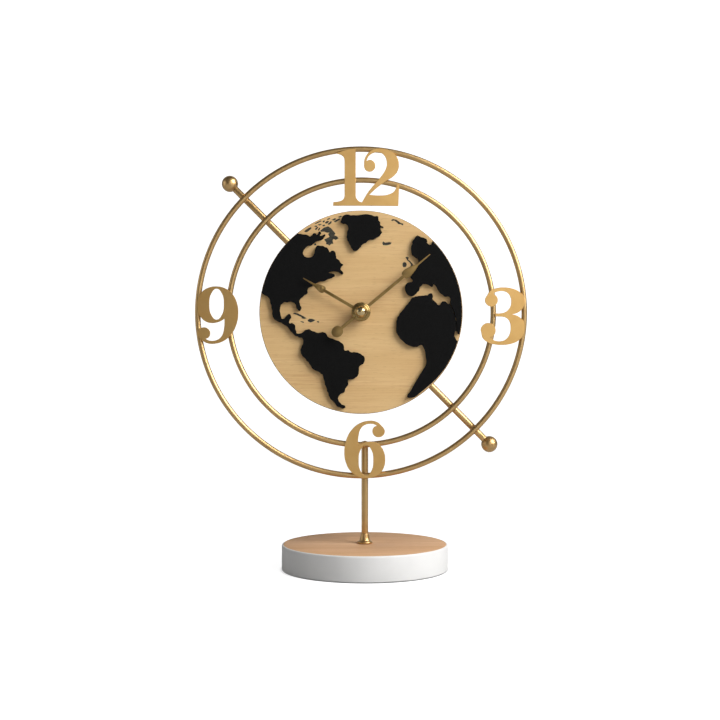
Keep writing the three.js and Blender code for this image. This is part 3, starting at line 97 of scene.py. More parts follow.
def merge_doubles():
    """Selects the whole mesh in edit mode and joins the corners that lie on one another."""
    bpy.ops.mesh.select_all(action="SELECT")
    bpy.ops.mesh.remove_doubles(threshold=0.001 * MM)


def deselect_parts(piece, kind):
    """Deselects a piece's corners, edges and faces, so that code can select some of one kind."""
    select_only(piece)
    bpy.ops.object.mode_set(mode="EDIT")
    bpy.ops.mesh.select_mode(type=kind)
    bpy.ops.mesh.select_all(action="DESELECT")
    bpy.ops.object.mode_set(mode="OBJECT")


def drawn(name, points):
    """Draws a line through points, each vertex extruded from the last, and stays in edit mode."""
    piece = started(name, bpy.ops.mesh.primitive_plane_add, size=MM)
    bpy.ops.object.mode_set(mode="EDIT")
    bpy.ops.mesh.select_mode(type="VERT")
    bpy.ops.mesh.select_all(action="SELECT")
    bpy.ops.mesh.merge(type="CENTER")
    bpy.ops.transform.translate(value=points[0])
    for start, end in zip(points, points[1:]):
        step = Vector(end) - Vector(start)
        bpy.ops.mesh.extrude_region_move(TRANSFORM_OT_translate={"value": step})
    bpy.ops.mesh.select_all(action="SELECT")
    return piece


def turned(name, profile, place, towards=(0, 0, 1), steps=64):
    """Turns a profile of (radius, height) points in millimetres, with its axis through place."""
    piece = drawn(name, [(radius * MM, 0, height * MM) for radius, height in profile])
    bpy.ops.mesh.spin(steps=steps, angle=2 * math.pi, center=(0, 0, 0), axis=(0, 0, 1))
    merge_doubles()
    bpy.ops.mesh.normals_make_consistent(inside=False)
    bpy.ops.object.mode_set(mode="OBJECT")
    piece.rotation_euler = Vector(towards).to_track_quat("Z", "Y").to_euler()
    piece.location = place
    bpy.ops.object.transform_apply()
    return piece


def soften(piece, width, segments=2, angle=35):
    """Rounds every edge sharper than the angle and smooths the rest."""
    select_only(piece)
    bpy.ops.object.modifier_add(type="BEVEL")
    bevel = piece.modifiers[-1]
    bevel.width = width * MM
    bevel.segments = segments
    bevel.limit_method = "ANGLE"
    bevel.angle_limit = math.radians(angle)
    bpy.ops.object.modifier_apply(modifier=bevel.name)
    bpy.ops.object.shade_smooth_by_angle(angle=math.radians(angle))


def bevel_where(piece, test, width, segments):
    """Rounds the edges whose middle and direction pass the test."""
    deselect_parts(piece, "EDGE")
    for edge in piece.data.edges:
        start, end = (piece.data.vertices[i].co for i in edge.vertices)
        edge.select = test((start + end) / 2, (end - start).normalized())
    bpy.ops.object.mode_set(mode="EDIT")
    bpy.ops.mesh.bevel(offset=width * MM, segments=segments, affect="EDGES")
    bpy.ops.object.mode_set(mode="OBJECT")


def dress(piece, material, body, slot, *nodes):
    """Gives a finished piece its material and its body, and hides the solids that it stands for. The slot is
    not used.
    """
    piece.data.materials.clear()
    piece.data.materials.append(material)
    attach(piece, body)
    if nodes:
        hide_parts(*nodes)


base_low, base_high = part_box("base_body")
pad_low, pad_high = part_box("base_pad")
base_middle = Vector(((base_low.x + base_high.x) / 2, 0, 0))
base_radius = (base_high.x - base_low.x) / 2 / MM
base_foot = base_low.z / MM
base_top = base_high.z / MM
pad_radius = (pad_high.x - pad_low.x) / 2 / MM
rim = 1.4
glue_gap = 0.15
inlay_thickness = 2
recess = base_top - inlay_thickness - glue_gap
pad_room = pad_radius + glue_gap
pad_ceiling = pad_high.z / MM + glue_gap
pocket = 8.4
pocket_height = 5
pocket_ceiling = pad_ceiling + pocket_height
post_hole = 3.15
post_seat = 10.2
screw_hole = 2.15
disc_steps = 160
base = turned("base", [
    (pocket, pad_ceiling), (pad_room, pad_ceiling), (pad_room, base_foot), (base_radius, base_foot),
    (base_radius, base_top), (base_radius - rim, base_top), (base_radius - rim, recess),
    (post_hole, recess), (post_hole, post_seat), (screw_hole, post_seat), (screw_hole, pocket_ceiling),
    (pocket, pocket_ceiling), (pocket, pad_ceiling),
], base_middle, steps=disc_steps)


def on_outer_edge(middle, height):
    """Whether an edge's middle lies on the base's outer edge at a height in millimetres."""
    near = 0.1
    away = (middle - base_middle).xy.length / MM
    return away > base_radius - near and abs(middle.z / MM - height) < near


foot_round = 0.8
top_round = 1.3
bevel_where(base, lambda middle, along: on_outer_edge(middle, base_foot), foot_round, 4)
bevel_where(base, lambda middle, along: on_outer_edge(middle, base_top), top_round, 6)
soften(base, 0.12, angle=50)

# Satin lacquer sprayed on fibreboard: clean white with a faint haze, a soft gloss and a shallow orange peel,
# which is drawn twice as coarse as the real one so that it shows.
lacquer = new_material("white_satin_lacquer")
spot = add_node(lacquer, "TexCoord", {}).outputs["Object"]
haze = add_node(lacquer, "TexNoise", {"Vector": spot, "Scale": 1 / (35 * MM), "Detail": 3})
white = add_node(lacquer, "ValToRGB", {"Fac": haze.outputs["Fac"]}, [(0.3, "#ebeae8"), (0.7, "#f3f2f0")])
gloss = add_node(lacquer, "MapRange", {"Value": haze.outputs["Fac"], "To Min": 0.36, "To Max": 0.5})
peel = add_node(lacquer, "TexNoise", {"Vector": spot, "Scale": 1 / (1.6 * MM), "Detail": 1})
dimples = add_node(lacquer, "Bump", {"Height": peel.outputs["Fac"], "Strength": 0.12, "Distance": 0.06 * MM})
shader = add_node(lacquer, "BsdfPrincipled", {
    "Base Color": white.outputs["Color"], "Roughness": gloss.outputs["Result"],
    "Normal": dimples.outputs["Normal"]})
add_node(lacquer, "OutputMaterial", {"Surface": shader.outputs["BSDF"]})
dress(base, lacquer, "stand", "white_lacquer", "base_body")

# Wood top: a 2 mm disc of veneered board, glued into the base's recess. The post passes through its middle,
# and its grain runs across the clock.
inlay_low, inlay_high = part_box("base_top")
inlay_radius = (inlay_high.x - inlay_low.x) / 2 / MM


def flat_ring(hole, radius, low, high):
    """The profile of a flat ring, between two radii and two heights."""
    return [(hole, low), (radius, low), (radius, high), (hole, high), (hole, low)]


wood_top = turned("base_wood_top", flat_ring(post_hole, inlay_radius, inlay_low.z / MM, inlay_high.z / MM),
                  base_middle, steps=disc_steps)
soften(wood_top, 0.15)


def wood_veneer(name, pale, middle, streak, pore):
    """Sliced light wood, sanded and sealed with a thin matt varnish. It shows wide soft bands, fine streaks
    along X that gather in patches, and short dark pores, drawn twice as wide as real ones so that they
    show."""
    wood = new_material(name)
    spot = add_node(wood, "TexCoord", {}).outputs["Object"]

    def stretched(length, width, **inputs):
        scale = (1 / (length * MM), 1 / (width * MM), 1 / (width * MM))
        laid = add_node(wood, "Mapping", {"Vector": spot, "Scale": scale})
        pattern = {"Vector": laid.outputs["Vector"], "Scale": 1, **inputs}
        return add_node(wood, "TexNoise", pattern).outputs["Fac"]

    bands = stretched(190, 15, Detail=3, Distortion=0.7)
    patches = stretched(70, 28, Detail=1)
    streaks = stretched(34, 1, Detail=3, Roughness=0.55, Distortion=0.3)
    pores = stretched(8, 0.7, Detail=1)
    ground = add_node(wood, "ValToRGB", {"Fac": bands}, [(0.34, pale), (0.66, middle)])
    depth = add_node(wood, "MapRange", {
        "Value": patches, "From Min": 0.35, "From Max": 0.65, "To Min": 0.25, "To Max": 0.85})
    share = add_node(wood, "MapRange", {
        "Value": streaks, "From Min": 0.45, "From Max": 0.75, "To Max": depth.outputs["Result"]})
    lined = add_node(wood, "Mix", {0: share.outputs["Result"], 6: ground.outputs["Color"], 7: linear(streak)},
                     data_type="RGBA")
    dots = add_node(wood, "MapRange", {"Value": pores, "From Min": 0.62, "From Max": 0.72, "To Max": 0.35})
    grained = add_node(wood, "Mix", {0: dots.outputs["Result"], 6: lined.outputs[2], 7: linear(pore)},
                       data_type="RGBA")
    gloss = add_node(wood, "MapRange", {"Value": streaks, "To Min": 0.5, "To Max": 0.66})
    furrows = add_node(wood, "Bump", {"Height": streaks, "Strength": 0.15, "Distance": 0.1 * MM})
    shader = add_node(wood, "BsdfPrincipled", {
        "Base Color": grained.outputs[2], "Roughness": gloss.outputs["Result"], "Specular IOR Level": 0.3,
        "Normal": furrows.outputs["Normal"]})
    add_node(wood, "OutputMaterial", {"Surface": shader.outputs["BSDF"]})
    return wood


beech = wood_veneer("varnished_beech_veneer", "#e6bb92", "#d8aa7e", "#c6946a", "#a67650")
dress(wood_top, beech, "stand", "wood_veneer", "base_top")

# Felt pad: a disc of pressed wool felt, punched out and glued into a shallow recess under the base. It covers
# the screw's pocket and keeps the foot from scratching the table.
pad = turned("base_felt_pad", [
    (0, 0), (pad_radius, 0), (pad_radius, pad_high.z / MM), (0, pad_high.z / MM),
], base_middle, steps=96)
soften(pad, 0.4)

# Pressed felt: dull grey with tangled fibres about half a millimetre long.
felt = new_material("pressed_wool_felt")
spot = add_node(felt, "TexCoord", {}).outputs["Object"]
fibres = add_node(felt, "TexNoise", {"Vector": spot, "Scale": 1 / (0.5 * MM), "Detail": 4, "Distortion": 2})
grey = add_node(felt, "ValToRGB", {"Fac": fibres.outputs["Fac"]}, [(0.3, "#4a4743"), (0.7, "#625e58")])
fuzz = add_node(felt, "Bump", {"Height": fibres.outputs["Fac"], "Strength": 0.6, "Distance": 0.2 * MM})
shader = add_node(felt, "BsdfPrincipled", {
    "Base Color": grey.outputs["Color"], "Roughness": 0.95, "Sheen Weight": 0.3,
    "Normal": fuzz.outputs["Normal"]})
add_node(felt, "OutputMaterial", {"Surface": shader.outputs["BSDF"]})
dress(pad, felt, "stand", "felt", "base_pad")

# Post: a straight gold plated steel rod, tapped at its foot and welded behind the two rings. A screw and a
# washer in the base's pocket draw it down.
post_low, post_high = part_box("post")
post_radius = (post_high.x - post_low.x) / 2 / MM
post_foot = post_low.z / MM
thread_end = post_foot + 10
rod_steps = 48
post = turned("post_rod", [
    (0, thread_end), (screw_hole, thread_end), (screw_hole, post_foot), (post_radius, post_foot),
    (post_radius, post_high.z / MM), (0, post_high.z / MM),
], base_middle, steps=rod_steps)
soften(post, 0.4, segments=3)


def gold_plate(name, bright, dull, smooth, rough, cloud, scratch, clear_coat):
    """Yellow gold plating, bare or under a clear hard lacquer that whitens the highlights. It shows a warm
    metal with cloudy changes of tone and of gloss, and fine lines from the polishing wheel, drawn as wide as
    they need to show."""
    gold = new_material(name)
    spot = add_node(gold, "TexCoord", {}).outputs["Object"]
    clouds = add_node(gold, "TexNoise", {"Vector": spot, "Scale": 1 / (cloud * MM), "Detail": 4})
    tone = add_node(gold, "ValToRGB", {"Fac": clouds.outputs["Fac"]}, [(0.3, dull), (0.7, bright)])
    lines = add_node(gold, "TexNoise", {"Vector": spot, "Scale": 1 / (scratch * MM), "Detail": 2})
    gloss = add_node(gold, "MapRange", {
        "Value": clouds.outputs["Fac"], "From Min": 0.25, "From Max": 0.75,
        "To Min": rough, "To Max": smooth})
    marks = add_node(gold, "Bump", {"Height": lines.outputs["Fac"], "Strength": 0.1, "Distance": 0.02 * MM})
    shader = add_node(gold, "BsdfPrincipled", {
        "Base Color": tone.outputs["Color"], "Metallic": 1, "Roughness": gloss.outputs["Result"],
        "Coat Weight": clear_coat, "Coat Roughness": 0.3, "Coat IOR": 2, "Normal": marks.outputs["Normal"]})
    add_node(gold, "OutputMaterial", {"Surface": shader.outputs["BSDF"]})
    return gold


gold_wire = gold_plate("gold_plated_steel_wire", "#d4ad6d", "#c0995d", smooth=0.34, rough=0.42, cloud=18,
                       scratch=0.7, clear_coat=0.45)
dress(post, gold_wire, "stand", "gold_plate", "post")

# Collar: a bell turned from brass bar and plated like the post. It slides down the post and covers its hole
# in the wood, with a rounded foot, a narrow step and a flare that runs up to the rod.
collar_low, collar_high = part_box("post_collar")
collar_foot = collar_low.z / MM
collar_top = collar_high.z / MM
collar_radius = (collar_high.x - collar_low.x) / 2 / MM
flare = [(5, 2.6), (4.75, 3.1), (4.4, 4.2), (4.05, 5.6), (3.85, 7.2)]
collar = turned("post_collar_bell", [
    (post_hole, collar_foot), (collar_radius - 0.3, collar_foot), (collar_radius, collar_foot + 0.4),
    (collar_radius, collar_foot + 1.3), (collar_radius - 0.5, collar_foot + 2),
    (collar_radius - 1.5, collar_foot + 2.4), *[(radius, collar_foot + height) for radius, height in flare],
    (3.7, collar_top - 0.3), (3.4, collar_top), (post_hole, collar_top), (post_hole, collar_foot),
], base_middle, steps=64)
soften(collar, 0.12)
dress(collar, gold_wire, "stand", "gold_plate", "post_collar")

# Post screw and washer: a pan head machine screw and a punched washer of zinc plated steel, in the pocket
# under the base. They draw the post down on its seat.
screw_low, screw_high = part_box("post_screw")
screw_radius = (screw_high.x - screw_low.x) / 2 / MM
screw_head = 2.6
screw_seat = screw_low.z / MM + screw_head
screw_shank = 2
screw_tip = screw_high.z / MM
post_screw = turned("post_screw_pan_head", [
    (0, screw_seat - screw_head), (screw_radius * 0.6, screw_seat - 2.4),
    (screw_radius * 0.92, screw_seat - 1.4), (screw_radius, screw_seat - 0.4), (screw_radius, screw_seat),
    (screw_shank, screw_seat), (screw_shank, screw_tip - 0.5), (1.5, screw_tip), (0, screw_tip),
], base_middle, steps=32)
soften(post_screw, 0.1)
washer_low, washer_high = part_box("post_washer")
washer_radius = (washer_high.x - washer_low.x) / 2 / MM
post_washer = turned(
    "post_screw_washer", flat_ring(screw_hole, washer_radius, washer_low.z / MM, washer_high.z / MM),
    base_middle, steps=48)
soften(post_washer, 0.1)

# Bright zinc on steel: cool grey metal with faint bluish clouds and a slightly grainy gloss.
zinc = new_material("zinc_plated_steel")
spot = add_node(zinc, "TexCoord", {}).outputs["Object"]
bloom = add_node(zinc, "TexNoise", {"Vector": spot, "Scale": 1 / (3 * MM), "Detail": 4})
silver = add_node(zinc, "ValToRGB", {"Fac": bloom.outputs["Fac"]}, [(0.3, "#aeb3b8"), (0.7, "#c9cbcb")])
gloss = add_node(zinc, "MapRange", {"Value": bloom.outputs["Fac"], "To Min": 0.22, "To Max": 0.48})
shader = add_node(zinc, "BsdfPrincipled", {
    "Base Color": silver.outputs["Color"], "Metallic": 1, "Roughness": gloss.outputs["Result"]})
add_node(zinc, "OutputMaterial", {"Surface": shader.outputs["BSDF"]})
dress(post_screw, zinc, "stand", "zinc_steel", "post_screw")
dress(post_washer, zinc, "stand", "zinc_steel", "post_washer")

# Rings: two hoops of round steel wire, rolled to a circle, butt welded behind the six and plated. They are
# welded to the front of the post and of the diagonal rod.
dial_low, dial_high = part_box("dial")
hub = Vector(((dial_low.x + dial_high.x) / 2, 0, (dial_low.z + dial_high.z) / 2))
FRONT = Vector((0, -1, 0))


def arc(centre_radius, centre_height, radius, start, end, steps):
    """Points of a profile along an arc, with angles in degrees from the radial direction."""
    angles = [math.radians(start + (end - start) * i / steps) for i in range(steps + 1)]
    return [(centre_radius + radius * math.cos(a), centre_height + radius * math.sin(a)) for a in angles]


# The butt weld is dressed with a file and stays a little thicker than the wire.
weld_half = 3
weld_rise = 0.06
for name in ("outer_ring", "inner_ring"):
    ring_low, ring_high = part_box(name)
    wire = (ring_high.y - ring_low.y) / 2 / MM
    hoop = (ring_high.x - ring_low.x) / 2 / MM - wire
    middle = Vector((hub.x, (ring_low.y + ring_high.y) / 2, hub.z))
    ring = turned(name + "_hoop", arc(hoop, 0, wire, 0, 360, 24), middle, FRONT, 240)
    deselect_parts(ring, "VERT")
    for corner in ring.data.vertices:
        corner.select = corner.co.z < hub.z and abs(corner.co.x - hub.x) < weld_half * MM
    bpy.ops.object.mode_set(mode="EDIT")
    bpy.ops.transform.shrink_fatten(value=weld_rise * MM)
    bpy.ops.object.mode_set(mode="OBJECT")
    bpy.ops.object.shade_smooth()
    dress(ring, gold_wire, "stand", "gold_plate", name)

# Numerals: figures cut from 1.2 mm steel sheet, deburred, plated and soldered to the front of both rings.
# Their outlines follow the solids, with the facets drawn out to smooth curves.


def merged_copy(node, name):
    """A copy of a solid, with its loose triangles merged."""
    piece = bpy.data.objects.new(name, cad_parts[node].data.copy())
    bpy.context.scene.collection.objects.link(piece)
    select_only(piece)
    bpy.ops.mesh.customdata_custom_splitnormals_clear()
    bpy.ops.object.mode_set(mode="EDIT")
    merge_doubles()
    bpy.ops.object.mode_set(mode="OBJECT")
    return piece


def cut_sheet(name, node, edge, front=None, thickness=None, rough_coast=0, rim=None, crown=12):
    """Cuts a sheet to a solid's outline at its front face, with rounded edges and smooth openings. A rough
    coast wanders by about that many millimetres, and what runs along the first radius of a rim is drawn out
    to the second. Edges that turn by less than the crown angle are smooth, so that a narrow sheet can look
    crowned."""
    low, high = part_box(node)
    front = low.y if front is None else front
    thickness = thickness or high.y - front
    piece = merged_copy(node, name)
    deselect_parts(piece, "FACE")
    for face in piece.data.polygons:
        face.select = face.normal.y < -0.99 and abs(face.center.y - front) < 0.01 * MM
    bpy.ops.object.mode_set(mode="EDIT")
    bpy.ops.mesh.region_to_loop()
    bpy.ops.mesh.select_all(action="INVERT")
    bpy.ops.mesh.delete(type="EDGE")
    bpy.ops.mesh.select_all(action="SELECT")
    bpy.ops.mesh.delete_loose(use_verts=True, use_edges=False, use_faces=False)
    bpy.ops.object.mode_set(mode="OBJECT")
    piece.rotation_euler.x = -math.pi / 2
    bpy.ops.object.transform_apply()
    bpy.ops.object.convert(target="CURVE")
    piece = bpy.context.object
    line = piece.data
    line.dimensions = "2D"
    bpy.ops.object.mode_set(mode="EDIT")
    bpy.ops.curve.select_all(action="SELECT")
    bpy.ops.curve.spline_type_set(type="BEZIER")
    bpy.ops.curve.handle_type_set(type="AUTOMATIC")
    if rough_coast:
        bpy.ops.curve.subdivide(number_cuts=2)
    bpy.ops.object.mode_set(mode="OBJECT")
    outline = max(line.splines, key=lambda spline: len(spline.bezier_points))
    left, right = (end(point.co.x for point in outline.bezier_points) for end in (min, max))
    foot, top = (end(point.co.y for point in outline.bezier_points) for end in (min, max))
    for spline in line.splines:
        points = spline.bezier_points
        count = len(points)
        opening = all(left < point.co.x < right and foot < point.co.y < top for point in points)
        # A corner stays where the outline turns sharply, or where a long straight line ends in a curve.
        for i, point in enumerate(points):
            before = point.co - points[i - 1].co
            after = points[(i + 1) % count].co - point.co
            sharp = before.angle(after, 0) > math.radians(70)
            if not opening and (sharp or before.length > 3 * after.length):
                point.handle_left_type = "VECTOR"
            if not opening and (sharp or after.length > 3 * before.length):
                point.handle_right_type = "VECTOR"
        for point in points:
            away = point.co.xy - hub.xz
            on_rim = rim and away.length > (rim[0] - 0.4) * MM
            if rough_coast and not on_rim:
                bays = noise.noise_vector(point.co / (2.6 * MM))
                notches = noise.noise_vector(point.co / (1.1 * MM))
                point.co.xy += (bays + notches / 2).xy * rough_coast * MM
            if on_rim:
                # Low on the dial, the edge fades back to where the solid has it.
                flush = min(1, max(0, 3.75 + 5 * away.y / away.length))
                point.co.xy += away.normalized() * (rim[1] * MM - away.length) * flush
    line.fill_mode = "BOTH"
    line.resolution_u = 3 if rough_coast else 6
    line.bevel_depth = edge * MM
    line.bevel_resolution = 2
    line.offset = -edge * MM
    line.extrude = thickness / 2 - edge * MM
    bpy.ops.object.convert(target="MESH")
    piece = bpy.context.object
    piece.data.name = name
    piece.rotation_euler.x = math.pi / 2
    piece.location.y = front + thickness / 2
    bpy.ops.object.transform_apply()
    bpy.ops.object.mode_set(mode="EDIT")
    merge_doubles()
    bpy.ops.mesh.normals_make_consistent(inside=False)
    bpy.ops.object.mode_set(mode="OBJECT")
    bpy.ops.object.shade_smooth_by_angle(angle=math.radians(crown))
    return piece


gold_sheet = gold_plate("satin_gold_steel_sheet", "#e7bc78", "#e1b36e", smooth=0.34, rough=0.38, cloud=14,
                        scratch=0.6, clear_coat=0)
for name in ("numeral_12", "numeral_3", "numeral_6", "numeral_9"):
    figure = cut_sheet(name + "_sheet", name, 0.15)
    dress(figure, gold_sheet, "stand", "gold_plate", name)

# Diagonal rod: two halves of plated rod behind the rings and the dial. Each carries a ball on its outer end,
# and its inner end is welded to a steel bracket on the dial's back. The lower half is the upper one turned
# half round.
ball_low, ball_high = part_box("finial_upper")
lower_low, lower_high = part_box("finial_lower")
ball = (ball_low + ball_high) / 2
rod_middle = (ball + (lower_low + lower_high) / 2) / 2
outward = (ball - rod_middle).normalized()
ball_reach = (ball - rod_middle).length / MM
ball_radius = (ball_high.y - ball_low.y) / 2 / MM
rod_low, rod_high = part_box("rod_upper")
rod_radius = (rod_high.y - rod_low.y) / 2 / MM
plate_low, plate_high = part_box("bracket_upper")
plate_middle = (plate_low + plate_high) / 2
plate_reach = (plate_middle - rod_middle).dot(outward) / MM
plate_width = 16
plate_length = 40
rod_start = plate_reach - plate_width / 2
half_turn = (Matrix.Translation(rod_middle) @ Matrix.Rotation(math.pi, 4, "Y")
             @ Matrix.Translation(-rod_middle))


def copied(piece, name, move):
    """A copy of a finished piece, with its own mesh put to its place."""
    twin = bpy.data.objects.new(name, piece.data.copy())
    twin.data.name = name
    twin.data.transform(move)
    bpy.context.scene.collection.objects.link(twin)
    return twin


rod = turned("rod_upper_half", [
    (0, rod_start), (rod_radius, rod_start), (rod_radius, ball_reach), (0, ball_reach),
], rod_middle, outward, rod_steps)
soften(rod, 0.3)
socket_play = 0.15
socket = rod_radius + socket_play
mouth = math.degrees(math.asin(math.sqrt(1 - (socket / ball_radius) ** 2)))
finial = turned("finial_upper_ball", [
    (0, socket_play), (socket, socket_play), *arc(0, 0, ball_radius, -mouth, 90, 28),
], ball, outward, rod_steps)
bpy.ops.object.shade_smooth_by_angle(angle=math.radians(40))
for piece, half in ((rod, "rod"), (finial, "finial")):
    twin = copied(piece, piece.name.replace("upper", "lower"), half_turn)
    dress(piece, gold_wire, "stand", "gold_plate", half + "_upper")
    dress(twin, gold_wire, "stand", "gold_plate", half + "_lower")

# Welds: small dressed beads of bronze where the rings meet the rod and the post. They fill the corner behind
# each crossing and are plated with the rest.
ring_low, ring_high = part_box("outer_ring")
inner_low, inner_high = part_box("inner_ring")
outer_hoop = (ring_high.x - ring_low.x) / 2 - wire * MM
inner_hoop = (inner_high.x - inner_low.x) / 2 - wire * MM
aside = (rod_middle - hub).length
bead_radius = 3.4
bead_flatness = 0.42
bead_gap = 0.3
weld_places = []
for reach in (outer_hoop, inner_hoop):
    crossing = outward * math.sqrt(reach ** 2 - aside ** 2)
    weld_places += [rod_middle + crossing, rod_middle - crossing, Vector((base_middle.x, 0, hub.z - reach))]
for number, place in enumerate(weld_places, 1):
    bead = started(f"weld_bead_{number}", bpy.ops.mesh.primitive_ico_sphere_add, subdivisions=4,
                   radius=bead_radius * MM)
    bead.scale = (1, bead_flatness, 1)
    bead.location = (place.x, ring_high.y + bead_gap * MM, place.z)
    bpy.ops.object.transform_apply()
    bpy.ops.object.mode_set(mode="EDIT")
    bpy.ops.mesh.select_all(action="SELECT")
    bpy.ops.transform.vertex_random(offset=0.1 * MM, seed=number)
    bpy.ops.mesh.vertices_smooth(factor=0.5, repeat=3)
    bpy.ops.object.mode_set(mode="OBJECT")
    bpy.ops.object.shade_smooth()
    dress(bead, gold_wire, "stand", "gold_plate")

# Brackets and their screws: plates punched from 1.5 mm steel with rounded corners, zinc plated, each held to
# the dial's back by two wood screws with cross recesses.
across = FRONT.cross(outward)
lie = Matrix((outward, across, FRONT)).transposed().to_4x4()
bracket = started("bracket_upper_plate", bpy.ops.mesh.primitive_cube_add, size=1)
bracket.scale = (plate_width * MM, plate_length * MM, plate_high.y - plate_low.y)
bpy.ops.object.transform_apply()
bevel_where(bracket, lambda middle, along: abs(along.z) > 0.9, plate_width / 4, 6)
soften(bracket, 0.2)
bracket.data.transform(Matrix.Translation(plate_middle) @ lie)
twin = copied(bracket, "bracket_lower_plate", half_turn)
dress(bracket, zinc, "stand", "zinc_steel", "bracket_upper")
dress(twin, zinc, "stand", "zinc_steel", "bracket_lower")

head_height = 1.7
wood_screw = turned("wood_screw", [
    (0, -head_height), (1.3, -1.62), (2.2, -1.2), (2.7, -0.55), (2.8, 0), (1.45, 0), (1.45, 3.9), (0, 5.4),
], (0, 0, 0), steps=32)
soften(wood_screw, 0.08)
slot_length = 2.8
slot_width = 0.6
slot_depth = 1.8
slot_middle = (0, 0, -1.6 * MM)
for turn in (0, math.pi / 2):
    driver = started("driver", bpy.ops.mesh.primitive_cube_add, size=1, location=slot_middle,
                     rotation=(0, 0, turn))
    driver.scale = (slot_length * MM, slot_width * MM, slot_depth * MM)
    select_only(wood_screw)
    bpy.ops.object.modifier_add(type="BOOLEAN")
    wood_screw.modifiers[-1].object = driver
    bpy.ops.object.modifier_apply(modifier=wood_screw.modifiers[-1].name)
    bpy.data.objects.remove(driver)
for number in (1, 2, 3, 4):
    node = f"bracket_screw_{number}"
    low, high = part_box(node)
    place = Vector(((low.x + high.x) / 2, high.y - head_height * MM, (low.z + high.z) / 2))
    screw = copied(wood_screw, node + "_cross_head", Matrix.Translation(place) @ lie)
    dress(screw, zinc, "stand", "zinc_steel", node)
bpy.data.objects.remove(wood_screw)

# Dial: a 5 mm disc of fibreboard, faced with light veneer and cut round by a laser. The veneer stops short of
# the edge, so a thin ring of bare brown board shows round the front as a line: painted shade for the shaded
# side of the edge. The spigot of the movement comes through the bore.
dial_front = dial_low.y
dial_back = dial_high.y
dial_radius = (dial_high.x - dial_low.x) / 2 / MM
dial_depth = (dial_back - dial_front) / MM
facing = 0.7
bore = 4.15
# Width of the bare brown ring left outside the veneer: painted shade for the shaded side of the dial's edge.
edge_shade_width = 0.4
veneer_radius = dial_radius - edge_shade_width
veneer_back = dial_depth - facing
core = turned("dial_board", [
    (bore, 0), (dial_radius, 0), (dial_radius, dial_depth - 0.3), (veneer_radius, dial_depth - 0.05),
    (veneer_radius, veneer_back), (bore, veneer_back), (bore, 0),
], (hub.x, dial_back, hub.z), FRONT, disc_steps)
soften(core, 0.1)
veneer = turned("dial_veneer", [
    (bore, veneer_back), (veneer_radius, veneer_back), (veneer_radius, dial_depth - 0.1),
    (veneer_radius - 0.1, dial_depth), (bore, dial_depth), (bore, veneer_back),
], (hub.x, dial_back, hub.z), FRONT, disc_steps)
bpy.ops.object.shade_smooth_by_angle(angle=math.radians(30))

# Medium density fibreboard: pressed wood dust, plain brown, with a fine fleck and a dry surface.
board = new_material("bare_fibreboard")
spot = add_node(board, "TexCoord", {}).outputs["Object"]
dust = add_node(board, "TexNoise", {"Vector": spot, "Scale": 1 / (0.8 * MM), "Detail": 5})
brown = add_node(board, "ValToRGB", {"Fac": dust.outputs["Fac"]}, [(0.3, "#7d6244"), (0.7, "#a08059")])
fleck = add_node(board, "Bump", {"Height": dust.outputs["Fac"], "Strength": 0.3, "Distance": 0.08 * MM})
shader = add_node(board, "BsdfPrincipled", {
    "Base Color": brown.outputs["Color"], "Roughness": 0.85, "Normal": fleck.outputs["Normal"]})
add_node(board, "OutputMaterial", {"Surface": shader.outputs["BSDF"]})
ash = wood_veneer("varnished_ash_veneer", "#eec98f", "#e4bc82", "#d6a672", "#b98a5c")
dress(core, board, "stand", "wood_veneer", "dial")
dress(veneer, ash, "stand", "wood_veneer")

# Land: pieces sawn from 3 mm board, painted matt black all over and glued to the veneer. The fine saw follows
# a ragged coast, and the outer edge runs along the dial's rim.

# Matt black paint rolled on fibreboard: deep black with a fine pale speckle and no gloss.
black_paint = new_material("matt_black_paint")
spot = add_node(black_paint, "TexCoord", {}).outputs["Object"]
speckle = add_node(black_paint, "TexNoise", {"Vector": spot, "Scale": 1 / (0.9 * MM), "Detail": 4})
black = add_node(black_paint, "ValToRGB", {"Fac": speckle.outputs["Fac"]},
                 [(0.35, "#070707"), (0.75, "#111111")])
nap = add_node(black_paint, "Bump", {
    "Height": speckle.outputs["Fac"], "Strength": 0.35, "Distance": 0.1 * MM})
shader = add_node(black_paint, "BsdfPrincipled", {
    "Base Color": black.outputs["Color"], "Roughness": 0.85, "Specular IOR Level": 0.15,
    "Normal": nap.outputs["Normal"]})
add_node(black_paint, "OutputMaterial", {"Surface": shader.outputs["BSDF"]})
land_rim = (0.98 * dial_radius, dial_radius - 0.8)
# A fixed seed gives the same ragged coast on every run.
noise.seed_set(3)
for name in ("map_americas", "map_greenland", "map_eurasia", "map_africa"):
    land = cut_sheet(name + "_relief", name, 0.12, rough_coast=0.55, rim=land_rim)
    dress(land, black_paint, "stand", "black_board", name)
